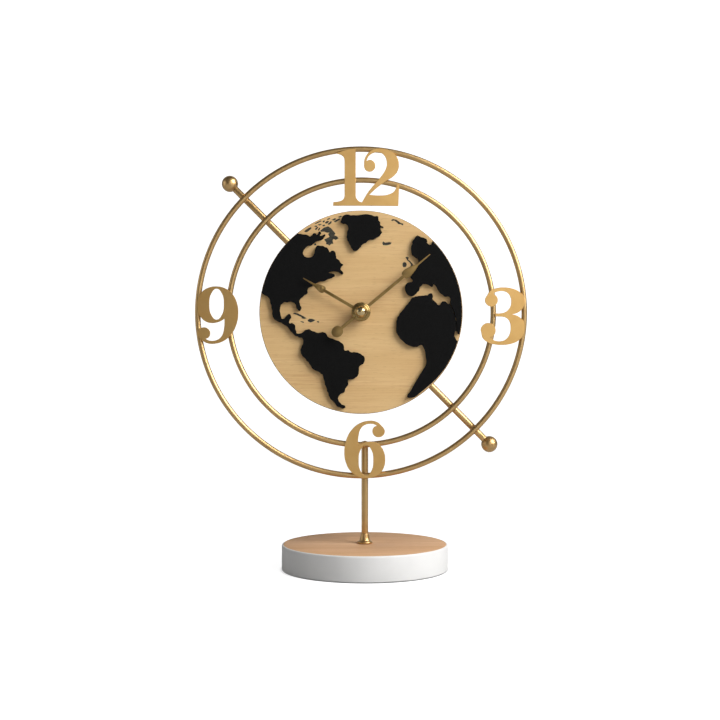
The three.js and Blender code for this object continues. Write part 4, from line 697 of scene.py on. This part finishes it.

# Islands too small to saw, printed on the veneer in dark ink, and a strip of the same ink under the groove
# between Africa and Eurasia, which is painted shade for the deep gap. Points are hundredths of the map's
# radius, from the middle of the dial.
map_unit = 0.882
ink_outlines = {
    "baffin": [(-40.8, 81.9), (-37.3, 84.8), (-33, 86.2), (-29.9, 84.1), (-28.1, 81.9), (-25.7, 79.1),
               (-26.7, 77), (-24.3, 76.3), (-22.5, 74.2), (-25.3, 72.5), (-27.8, 73.5), (-28.5, 71.8),
               (-27.8, 68.6), (-29.9, 68.6), (-31.6, 66.9), (-33, 67.9), (-35.1, 68.3), (-34.8, 70),
               (-36.9, 72.8), (-34.4, 74.2), (-31.6, 75.6), (-33, 78.4), (-31.6, 79.8), (-34.4, 79.8),
               (-36.9, 80.9), (-40.1, 80.5)],
    "victoria": [(-56.9, 80.9), (-55.5, 82.6), (-52.7, 84.4), (-49.9, 85.5), (-49.9, 83.7), (-51.6, 82.3),
                 (-53.7, 80.5), (-55.8, 80.2)],
    "banks": [(-46.6, 88.9), (-44.3, 90.4), (-40.1, 92.1), (-39.7, 91.2), (-42.9, 89.6), (-45.8, 88.5)],
    "melville": [(-47.2, 86.2), (-45.3, 87), (-43.4, 86.6), (-45.1, 85.2)],
    "prince_patrick": [(-43.6, 87.9), (-41.2, 88.6), (-39.2, 88.4), (-41.6, 86.9)],
    "bathurst": [(-46.4, 83.4), (-43.9, 85.7), (-42.8, 85.1), (-45.2, 82.2)],
    "prince_of_wales": [(-43.4, 82.6), (-41.8, 84.9), (-40.9, 83.9), (-42.3, 81.6)],
    "cornwallis": [(-38.6, 91.1), (-36.7, 92.3), (-36.4, 90.6), (-37.9, 89.9)],
    "devon": [(-36.2, 89.9), (-34.2, 91.6), (-31.9, 91.4), (-33.1, 89.6), (-35.2, 88.7)],
    "ringnes": [(-34.6, 93.2), (-31.8, 94.6), (-30.6, 93.7), (-33.2, 92.6)],
    "heiberg": [(-33.6, 88.3), (-30.6, 91.2), (-28.9, 90.9), (-30.2, 88.9), (-32.2, 87.6)],
    "ellesmere_west": [(-29.7, 92.6), (-26.2, 94.4), (-24.7, 93.6), (-27.2, 91.9)],
    "ellesmere_east": [(-27.3, 91.3), (-24.6, 92.9), (-21.4, 94.2), (-20.9, 92.9), (-23.6, 91.4),
                       (-26.2, 90.2)],
    "ellesmere_north": [(-23.4, 95.4), (-20.6, 96.6), (-18.2, 96.4), (-21.2, 94.9)],
    "bylot": [(-38.9, 87.2), (-36.6, 87.9), (-35.9, 86.6), (-38.1, 86)],
    "southampton": [(-47.3, 68.3), (-45.2, 69.2), (-44.8, 67.6), (-46.6, 66.9)],
    "spitsbergen": [(30.1, 92.3), (31.9, 93.5), (35.4, 92.8), (37.8, 91.1), (39.6, 89.7), (42.4, 88.8),
                    (42.1, 86.9), (39.9, 88.3), (37.5, 88.4), (36.1, 90), (33.3, 92.1), (31.2, 91.4)],
    "iceland": [(21.4, 69), (22.1, 71.1), (24.2, 69.7), (28.4, 70.4), (30.8, 69.7), (29.4, 67.9),
                (25.6, 67.1), (22.1, 67.2)],
    "britain": [(44.5, 55.3), (46.3, 55.6), (48.4, 54.6), (47, 53.2), (49.4, 51.1), (51.5, 49),
                (52.2, 47.6), (51.2, 45.5), (49.4, 45.5), (50.1, 47.6), (48.7, 50), (46.6, 51.8),
                (45.6, 53.5)],
    "ireland": [(41.7, 49), (43.1, 50.4), (45.2, 49.7), (45.9, 47.6), (45.2, 45.5), (42.4, 45.1),
                (41.7, 46.9)],
    "cuba": [(-68.5, -1.6), (-66.7, -0.5), (-63.2, -1.2), (-58.3, -3.7), (-54.4, -6.1), (-56.9, -6.8),
             (-59.7, -6.1), (-59.4, -5.1), (-63.9, -3), (-66.7, -1.9)],
    "jamaica": [(-61.1, -8.9), (-58.3, -9.3), (-56.9, -10), (-58, -10.7), (-60.4, -9.6)],
    "hispaniola": [(-53.7, -7.9), (-51.3, -6.5), (-48.5, -6.8), (-45.7, -7.9), (-47.8, -9.3), (-50.6, -10.3),
                   (-53, -9.3)],
    "puerto_rico": [(-44.6, -9.3), (-42.9, -8.8), (-41.5, -10), (-43.2, -10.5)],
    # Painted shade: a dark ink strip under the gap between Africa and Eurasia, where the groove lies in
    # shade.
    "red_sea_groove_shade": [(88.5, 9), (91.5, 4.5), (93.5, -1), (95, -7), (96.5, -13.5), (96.8, -19), (94.6, -19),
                (94, -13), (93, -7.5), (91.5, -1.5), (89.5, 4), (87.5, 7.5)],
}
ink_film = 0.06
ink_pieces = []
for name, coast in ink_outlines.items():
    line = [(hub.x + x * map_unit * MM, dial_front, hub.z + y * map_unit * MM) for x, y in coast]
    ink_piece = drawn("printed_" + name, line)
    bpy.ops.mesh.edge_face_add()
    bpy.ops.mesh.extrude_region_move(TRANSFORM_OT_translate={"value": FRONT * ink_film * MM})
    bpy.ops.mesh.select_all(action="SELECT")
    bpy.ops.mesh.normals_make_consistent(inside=False)
    bpy.ops.object.mode_set(mode="OBJECT")
    ink_pieces.append(ink_piece)
for ink_piece in ink_pieces:
    ink_piece.select_set(True)
bpy.ops.object.join()
ink_and_groove_shade = bpy.context.object
ink_and_groove_shade.name = "printed_islands"

# Screen ink on veneer: thin brown black that lets a little of the grain through. The same ink lies under the
# groove between Africa and Eurasia as painted shade.
ink = new_material("screen_printed_ink")
spot = add_node(ink, "TexCoord", {}).outputs["Object"]
grain = add_node(ink, "Mapping", {"Vector": spot, "Scale": (1 / (6 * MM), 1 / MM, 1 / MM)})
gaps = add_node(ink, "TexNoise", {"Vector": grain.outputs["Vector"], "Scale": 1, "Detail": 3})
dark = add_node(ink, "ValToRGB", {"Fac": gaps.outputs["Fac"]}, [(0.4, "#1f1e18"), (0.75, "#4a4636")])
shader = add_node(ink, "BsdfPrincipled", {"Base Color": dark.outputs["Color"], "Roughness": 0.6})
add_node(ink, "OutputMaterial", {"Surface": shader.outputs["BSDF"]})
dress(ink_and_groove_shade, ink, "stand", "black_board")

# Movement: a battery quartz movement in a moulded black housing behind the dial, with its cover, its setting
# knob and an open bay for the cell. A rubber gasket, a washer and a nut on its spigot clamp it to the dial.


def eased_copy(node, name, width):
    """A copy of a solid with its facets joined and its edges rounded as a mould or a tumbler leaves them."""
    piece = merged_copy(node, name)
    piece.data.name = name
    bpy.ops.object.mode_set(mode="EDIT")
    bpy.ops.mesh.select_all(action="SELECT")
    bpy.ops.mesh.dissolve_limited(angle_limit=math.radians(1))
    bpy.ops.object.mode_set(mode="OBJECT")
    soften(piece, width)
    return piece


# Moulded ABS: near black with a fine spark eroded texture, drawn a little coarser than real, and a dull
# sheen.
abs_black = new_material("moulded_black_abs")
spot = add_node(abs_black, "TexCoord", {}).outputs["Object"]
sparks = add_node(abs_black, "TexNoise", {"Vector": spot, "Scale": 1 / (0.45 * MM), "Detail": 3})
tone = add_node(abs_black, "ValToRGB", {"Fac": sparks.outputs["Fac"]}, [(0.3, "#16171a"), (0.7, "#222427")])
gloss = add_node(abs_black, "MapRange", {"Value": sparks.outputs["Fac"], "To Min": 0.42, "To Max": 0.62})
pits = add_node(abs_black, "Bump", {"Height": sparks.outputs["Fac"], "Strength": 0.3, "Distance": 0.05 * MM})
shader = add_node(abs_black, "BsdfPrincipled", {
    "Base Color": tone.outputs["Color"], "Roughness": gloss.outputs["Result"],
    "Normal": pits.outputs["Normal"]})
add_node(abs_black, "OutputMaterial", {"Surface": shader.outputs["BSDF"]})
for node, body, width in (("movement_case", "stand", 0.3), ("movement_cover", "stand", 0.3),
                          ("setting_knob", "setting_knob", 0.15)):
    dress(eased_copy(node, node + "_moulding", width), abs_black, body, "black_plastic", node)

# Polished brass: warm yellow metal, clear reflections with faint buffing haze.
brass = new_material("polished_brass")
spot = add_node(brass, "TexCoord", {}).outputs["Object"]
buffing = add_node(brass, "TexNoise", {"Vector": spot, "Scale": 1 / (2.5 * MM), "Detail": 3})
yellow = add_node(brass, "ValToRGB", {"Fac": buffing.outputs["Fac"]}, [(0.3, "#b89a5e"), (0.7, "#c9ad70")])
gloss = add_node(brass, "MapRange", {"Value": buffing.outputs["Fac"], "To Min": 0.08, "To Max": 0.2})
shader = add_node(brass, "BsdfPrincipled", {
    "Base Color": yellow.outputs["Color"], "Metallic": 1, "Roughness": gloss.outputs["Result"]})
add_node(brass, "OutputMaterial", {"Surface": shader.outputs["BSDF"]})
for node in ("dial_washer", "dial_nut"):
    dress(eased_copy(node, node + "_turning", 0.12), brass, "stand", "polished_brass", node)

# Rubber gasket: a ring punched from soft black sheet, between the housing and the dial's back. Its grip keeps
# the movement from turning while the hands are set.
rubber = new_material("black_rubber_sheet")
spot = add_node(rubber, "TexCoord", {}).outputs["Object"]
bloom = add_node(rubber, "TexNoise", {"Vector": spot, "Scale": 1 / (1.5 * MM), "Detail": 4})
tone = add_node(rubber, "ValToRGB", {"Fac": bloom.outputs["Fac"]}, [(0.3, "#1c1c1c"), (0.7, "#2b2b2a")])
shader = add_node(rubber, "BsdfPrincipled", {"Base Color": tone.outputs["Color"], "Roughness": 0.8})
add_node(rubber, "OutputMaterial", {"Surface": shader.outputs["BSDF"]})
gasket = eased_copy("movement_gasket", "movement_gasket_ring", 0.1)
dress(gasket, rubber, "stand", "black_rubber", "movement_gasket")

# Battery: an AA cell in the open bay, a drawn steel can with a pressed nub and a shrunk plastic sleeve that
# folds over its edges. The sleeve is plain, dark with one pale band.
cell_low, cell_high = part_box("battery")
cell_radius = (cell_high.y - cell_low.y) / 2 / MM
cell_foot = cell_low.x / MM
cell_nub = cell_high.x / MM
cell_place = (0, (cell_low.y + cell_high.y) / 2, (cell_low.z + cell_high.z) / 2)
can_radius = 6.85
shoulder = 6.2
nub_radius = 2.7
nub_height = 1.3
can = turned("battery_can", [
    (0, cell_foot + 0.2), (4.6, cell_foot + 0.2), (5, cell_foot), (shoulder, cell_foot),
    (can_radius, cell_foot + 0.6), (can_radius, cell_nub - 1.9), (shoulder, cell_nub - nub_height),
    (2.9, cell_nub - nub_height), (nub_radius, cell_nub - 1.1), (nub_radius, cell_nub - 0.3), (2.4, cell_nub),
    (0, cell_nub),
], cell_place, (1, 0, 0), rod_steps)
bpy.ops.object.shade_smooth_by_angle(angle=math.radians(40))
lip = 5.8
lining = 6.88
sleeve = turned("battery_sleeve", [
    (lip, cell_foot - 0.03), (6.3, cell_foot - 0.03), (6.95, cell_foot + 0.4), (cell_radius, cell_foot + 0.9),
    (cell_radius, cell_nub - 2.2), (6.95, cell_nub - 1.6), (6.3, cell_nub - 1.25), (lip, cell_nub - 1.25),
    (lip, cell_nub - 1.28), (6.25, cell_nub - 1.28), (lining, cell_nub - 1.7), (lining, cell_foot + 0.5),
    (6.25, cell_foot), (lip, cell_foot), (lip, cell_foot - 0.03),
], cell_place, (1, 0, 0), rod_steps)
bpy.ops.object.shade_smooth_by_angle(angle=math.radians(40))

# Shrunk PVC sleeve: glossy dark grey film with a pale band near the nub, and fine wrinkles round the can.
film = new_material("shrunk_pvc_sleeve")
spot = add_node(film, "TexCoord", {}).outputs["Object"]
wrinkles = add_node(film, "Mapping", {"Vector": spot, "Scale": (1 / (1.2 * MM), 1 / (9 * MM), 1 / (9 * MM))})
crease = add_node(film, "TexNoise", {"Vector": wrinkles.outputs["Vector"], "Scale": 1, "Detail": 2})
length = add_node(film, "SeparateXYZ", {"Vector": spot})
share = add_node(film, "MapRange", {
    "Value": length.outputs["X"], "From Min": cell_foot * MM, "From Max": cell_nub * MM})
bands = add_node(film, "ValToRGB", {"Fac": share.outputs["Result"]},
                 [(0.7, "#2b3138"), (0.705, "#b9bdc0"), (0.9, "#c4c7c9"), (0.905, "#2b3138")])
ripple = add_node(film, "Bump", {"Height": crease.outputs["Fac"], "Strength": 0.2, "Distance": 0.05 * MM})
shader = add_node(film, "BsdfPrincipled", {
    "Base Color": bands.outputs["Color"], "Roughness": 0.28, "Normal": ripple.outputs["Normal"]})
add_node(film, "OutputMaterial", {"Surface": shader.outputs["BSDF"]})
dress(can, zinc, "stand", "battery_wrap", "battery")
dress(sleeve, film, "stand", "battery_wrap")

# Works inside the housing: stamped brass wheels, a moulded plate, the stepping motor, the circuit board and
# the spring contacts. Their solids have the right shapes and only need their finishes.


def show_as(material, *nodes):
    """Puts a finish on solids that are shown as they are."""
    for node in nodes:
        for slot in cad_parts[node].material_slots:
            slot.material = material


# Stamped brass: yellow, matt from tumbling, with darker tarnish in clouds.
stamped = new_material("stamped_brass")
spot = add_node(stamped, "TexCoord", {}).outputs["Object"]
tarnish = add_node(stamped, "TexNoise", {"Vector": spot, "Scale": 1 / (2 * MM), "Detail": 4})
tone = add_node(stamped, "ValToRGB", {"Fac": tarnish.outputs["Fac"]}, [(0.3, "#a88c4c"), (0.7, "#cdb168")])
gloss = add_node(stamped, "MapRange", {"Value": tarnish.outputs["Fac"], "To Min": 0.25, "To Max": 0.45})
shader = add_node(stamped, "BsdfPrincipled", {
    "Base Color": tone.outputs["Color"], "Metallic": 1, "Roughness": gloss.outputs["Result"]})
add_node(stamped, "OutputMaterial", {"Surface": shader.outputs["BSDF"]})
show_as(stamped, "centre_arbor", "centre_wheel", "third_wheel", "seconds_wheel", "intermediate_wheel",
        "minute_wheel", "hour_wheel")
show_as(zinc, "stator", "coil_core", "quartz_crystal", "contact_positive", "contact_negative")

# Moulded acetal: milky white, slightly waxy, with faint flow marks.
acetal = new_material("moulded_white_acetal")
spot = add_node(acetal, "TexCoord", {}).outputs["Object"]
flow = add_node(acetal, "TexNoise", {"Vector": spot, "Scale": 1 / (6 * MM), "Detail": 2, "Distortion": 1})
tone = add_node(acetal, "ValToRGB", {"Fac": flow.outputs["Fac"]}, [(0.3, "#d9d6cc"), (0.7, "#e8e6dd")])
shader = add_node(acetal, "BsdfPrincipled", {"Base Color": tone.outputs["Color"], "Roughness": 0.42})
add_node(acetal, "OutputMaterial", {"Surface": shader.outputs["BSDF"]})
show_as(acetal, "middle_plate")

# Enamelled copper wire: red brown, wound in turns of a tenth of a millimetre, drawn as bands of about two
# millimetres so that they show.
copper = new_material("enamelled_copper_winding")
spot = add_node(copper, "TexCoord", {}).outputs["Object"]
turns = add_node(copper, "TexWave", {"Vector": spot, "Scale": 1 / (6 * MM), "Distortion": 0.4},
                 wave_type="BANDS", bands_direction="X")
tone = add_node(copper, "ValToRGB", {"Fac": turns.outputs["Fac"]}, [(0.1, "#6b2f18"), (0.8, "#b4663a")])
shader = add_node(copper, "BsdfPrincipled", {
    "Base Color": tone.outputs["Color"], "Metallic": 1, "Roughness": 0.35})
add_node(copper, "OutputMaterial", {"Surface": shader.outputs["BSDF"]})
show_as(copper, "coil")

# Solder mask on glass laminate: green varnish over a faint weave.
mask = new_material("green_solder_mask")
spot = add_node(mask, "TexCoord", {}).outputs["Object"]
weave = add_node(mask, "TexVoronoi", {"Vector": spot, "Scale": 1 / (0.8 * MM)})
tone = add_node(mask, "ValToRGB", {"Fac": weave.outputs["Distance"]}, [(0.1, "#1c5a38"), (0.7, "#16482d")])
shader = add_node(mask, "BsdfPrincipled", {"Base Color": tone.outputs["Color"], "Roughness": 0.3})
add_node(mask, "OutputMaterial", {"Surface": shader.outputs["BSDF"]})
show_as(mask, "circuit_board")

# Sintered magnet: dark grey, grainy, half metallic.
magnet = new_material("sintered_magnet")
spot = add_node(magnet, "TexCoord", {}).outputs["Object"]
grains = add_node(magnet, "TexNoise", {"Vector": spot, "Scale": 1 / (0.4 * MM), "Detail": 4})
tone = add_node(magnet, "ValToRGB", {"Fac": grains.outputs["Fac"]}, [(0.3, "#303033"), (0.7, "#4a4a4d")])
shader = add_node(magnet, "BsdfPrincipled", {
    "Base Color": tone.outputs["Color"], "Metallic": 0.5, "Roughness": 0.5})
add_node(magnet, "OutputMaterial", {"Surface": shader.outputs["BSDF"]})
show_as(magnet, "rotor")

# Hands: blades punched from 0.8 mm brass sheet and gilt, the hour hand on a collet with a small domed stud,
# the minute hand with a paddle tail. A turned cap with a polished dome holds them on the arbor.
hand_sheet = 0.8
hand_edge = 0.12
hand_crown = 30
hand_gilt = gold_plate("gilt_brass_sheet", "#997e50", "#81693f", smooth=0.3, rough=0.4, cloud=9, scratch=0.5,
                       clear_coat=0)
minute = cut_sheet("minute_hand_blade", "minute_hand", hand_edge, crown=hand_crown)
dress(minute, hand_gilt, "minute_hand", "gold_plate", "minute_hand")
hour_low, hour_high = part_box("hour_hand")
stud_room = 0.4
hour_face = hour_low.y + stud_room * MM
hour = cut_sheet("hour_hand_blade", "hour_hand", hand_edge, hour_face, hand_sheet * MM, crown=hand_crown)
dress(hour, hand_gilt, "hour_hand", "gold_plate", "hour_hand")
hour_turn = math.radians(300.3)
stud_reach = 40.2
stud_place = hub + stud_reach * MM * Vector((math.sin(hour_turn), 0, math.cos(hour_turn)))
stud = turned("hour_hand_stud", [
    (0, -hand_sheet), (1.5, -hand_sheet), (1.5, 0), (1.7, 0), (1.6, 0.1), (1.3, 0.18), (0.7, 0.22), (0, 0.23),
], (stud_place.x, hour_face, stud_place.z), FRONT, 32)
bpy.ops.object.shade_smooth_by_angle(angle=math.radians(40))
collet = turned("hour_hand_collet", flat_ring(2.4, 3.2, 0, 0.8), (hub.x, hour_high.y, hub.z), FRONT, 32)
soften(collet, 0.08)
for piece in (stud, collet):
    dress(piece, hand_gilt, "hour_hand", "gold_plate")

cap_low, cap_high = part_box("hub_cap")
cap_radius = (cap_high.x - cap_low.x) / 2 / MM
cap_height = (cap_high.y - cap_low.y) / MM
arbor_hole = 1.45
flange_height = 3.1
flange = turned("hub_cap_flange", [
    (arbor_hole, 0), (cap_radius - 0.3, 0), (cap_radius, 0.3), (cap_radius, 0.7), (cap_radius - 0.15, 1.1),
    (cap_radius - 0.5, 1.45), (cap_radius - 1, 1.65), (6.6, 1.8), (6, 2.05), (5.6, 2.4), (5.4, 2.8),
    (5.3, flange_height), (arbor_hole, flange_height), (arbor_hole, 0),
], (hub.x, cap_high.y, hub.z), FRONT, 64)
bpy.ops.object.shade_smooth_by_angle(angle=math.radians(40))
cap_gilt = gold_plate("gilt_turned_brass", "#a58b58", "#91784a", smooth=0.24, rough=0.3, cloud=4, scratch=0.4,
                      clear_coat=0)
dress(flange, cap_gilt, "minute_hand", "gold_plate")
dome_radius = 5
dome_curve = arc(0, cap_height - dome_radius, dome_radius, 13, 90, 16)
dome = turned("hub_cap_dome", [
    (0, flange_height), (5.1, flange_height), (5.1, 3.5), (4.9, 3.7), *dome_curve[:-1], (0, cap_height),
], (hub.x, cap_high.y, hub.z), FRONT, 64)
bpy.ops.object.shade_smooth_by_angle(angle=math.radians(40))

# Polished cap brass: paler than the hands under its clear lacquer, with sharp reflections and a faint buffing
# haze.
pale_brass = new_material("lacquered_turned_brass")
spot = add_node(pale_brass, "TexCoord", {}).outputs["Object"]
haze = add_node(pale_brass, "TexNoise", {"Vector": spot, "Scale": 1 / (2 * MM), "Detail": 3})
tone = add_node(pale_brass, "ValToRGB", {"Fac": haze.outputs["Fac"]}, [(0.3, "#bfa571"), (0.7, "#cfb888")])
gloss = add_node(pale_brass, "MapRange", {"Value": haze.outputs["Fac"], "To Min": 0.08, "To Max": 0.18})
shader = add_node(pale_brass, "BsdfPrincipled", {
    "Base Color": tone.outputs["Color"], "Metallic": 1, "Roughness": gloss.outputs["Result"],
    "Coat Weight": 0.6, "Coat Roughness": 0.08})
add_node(pale_brass, "OutputMaterial", {"Surface": shader.outputs["BSDF"]})
dress(dome, pale_brass, "minute_hand", "polished_brass", "hub_cap")

# Camera: level with the lower half of the dial and a little over a metre in front of the post, with a short
# telephoto lens. It looks straight ahead, so that upright lines stay upright.
camera_aside = -0.9
camera_distance = 1100
camera_height = 186.2
camera = bpy.data.objects.new("camera", bpy.data.cameras.new("camera"))
bpy.context.scene.collection.objects.link(camera)
camera.location = (camera_aside * MM, -camera_distance * MM, camera_height * MM)
camera.rotation_euler = (math.pi / 2, 0, 0)
camera.data.sensor_width = 36
camera.data.lens = 61.6
bpy.context.scene.camera = camera

# Studio: a soft box high on the right, a weak panel above, a card beside the camera and a panel on the left,
# in a dark room with a white floor and backdrop. The camera sees the paper as clean white, with the shadow
# close to the base.
scene = bpy.context.scene
scene.view_settings.view_transform = "Standard"
clock_middle = Vector((0, 0, 200 * MM))
for name, side, size, energy in (
        ("soft_box", (1.33, -0.81, 1.01), 1.4, 47),
        ("top_panel", (0.43, -1.19, 1.14), 1.8, 1.5),
        ("front_card", (0.34, -1.83, 0.36), 0.8, 2.8),
        ("left_panel", (-1.85, -0.3, 0.3), 1.4, 5)):
    lamp = bpy.data.objects.new(name, bpy.data.lights.new(name, "AREA"))
    scene.collection.objects.link(lamp)
    lamp.location = clock_middle + Vector(side)
    lamp.rotation_euler = (-Vector(side)).to_track_quat("-Z", "Y").to_euler()
    lamp.data.size = size
    lamp.data.energy = energy


def seen_share(surface, in_metal):
    """The share of plain white that a ray sees: all from the camera and through glass, a part in metal."""
    rays = add_node(surface, "LightPath", {})
    mirrored = add_node(surface, "Math", {0: rays.outputs["Is Glossy Ray"], 1: in_metal},
                        operation="MULTIPLY")
    shown = add_node(surface, "Math", {0: rays.outputs["Is Camera Ray"], 1: mirrored.outputs["Value"]},
                     operation="MAXIMUM")
    seen = add_node(surface, "Math", {0: shown.outputs["Value"], 1: rays.outputs["Is Transmission Ray"]},
                    operation="MAXIMUM")
    return seen.outputs["Value"]


room = bpy.data.worlds.new("dim_room")
scene.world = room
room.use_nodes = True
room.node_tree.nodes.clear()
towards = add_node(room, "TexCoord", {}).outputs["Generated"]
across_room = add_node(room, "SeparateXYZ", {"Vector": towards})
share = add_node(room, "MapRange", {"Value": across_room.outputs["X"], "From Min": -1})
walls = add_node(room, "ValToRGB", {"Fac": share.outputs["Result"]},
                 [(0, "#585858"), (0.5, "#202020"), (1, "#444444")])
dim = add_node(room, "Background", {"Color": walls.outputs["Color"]})
plain = add_node(room, "Background", {"Color": linear("#ffffff")})
air = add_node(room, "MixShader", {0: seen_share(room, 0.05), 1: dim.outputs[0], 2: plain.outputs[0]})
add_node(room, "OutputWorld", {"Surface": air.outputs[0]})

paper = new_material("white_paper_sweep")
# Where less open air is left within 5 mm, the white fades, which gives the thin dark line under the base.
open_air = add_node(paper, "AmbientOcclusion", {"Distance": 5 * MM})
shade = add_node(paper, "MapRange", {"Value": open_air.outputs["AO"], "From Max": 0.8, "To Max": 0.93})
lift = add_node(paper, "Math", {0: seen_share(paper, 0.25), 1: shade.outputs["Result"]}, operation="MULTIPLY")
glow = add_node(paper, "Emission", {"Color": linear("#ffffff"), "Strength": lift.outputs["Value"]})
matt = add_node(paper, "BsdfDiffuse", {"Color": linear("#a6a6a6")})
sweep = add_node(paper, "AddShader", {0: glow.outputs["Emission"], 1: matt.outputs["BSDF"]})
add_node(paper, "OutputMaterial", {"Surface": sweep.outputs["Shader"]})
floor = started("floor", bpy.ops.mesh.primitive_plane_add, size=6, location=(0, -1.6, 0))
backdrop = started("backdrop", bpy.ops.mesh.primitive_plane_add, size=2.8, location=(0, 1.42, 1.3),
                   rotation=(math.pi / 2, 0, 0))
for sheet in (floor, backdrop):
    sheet.data.materials.append(paper)
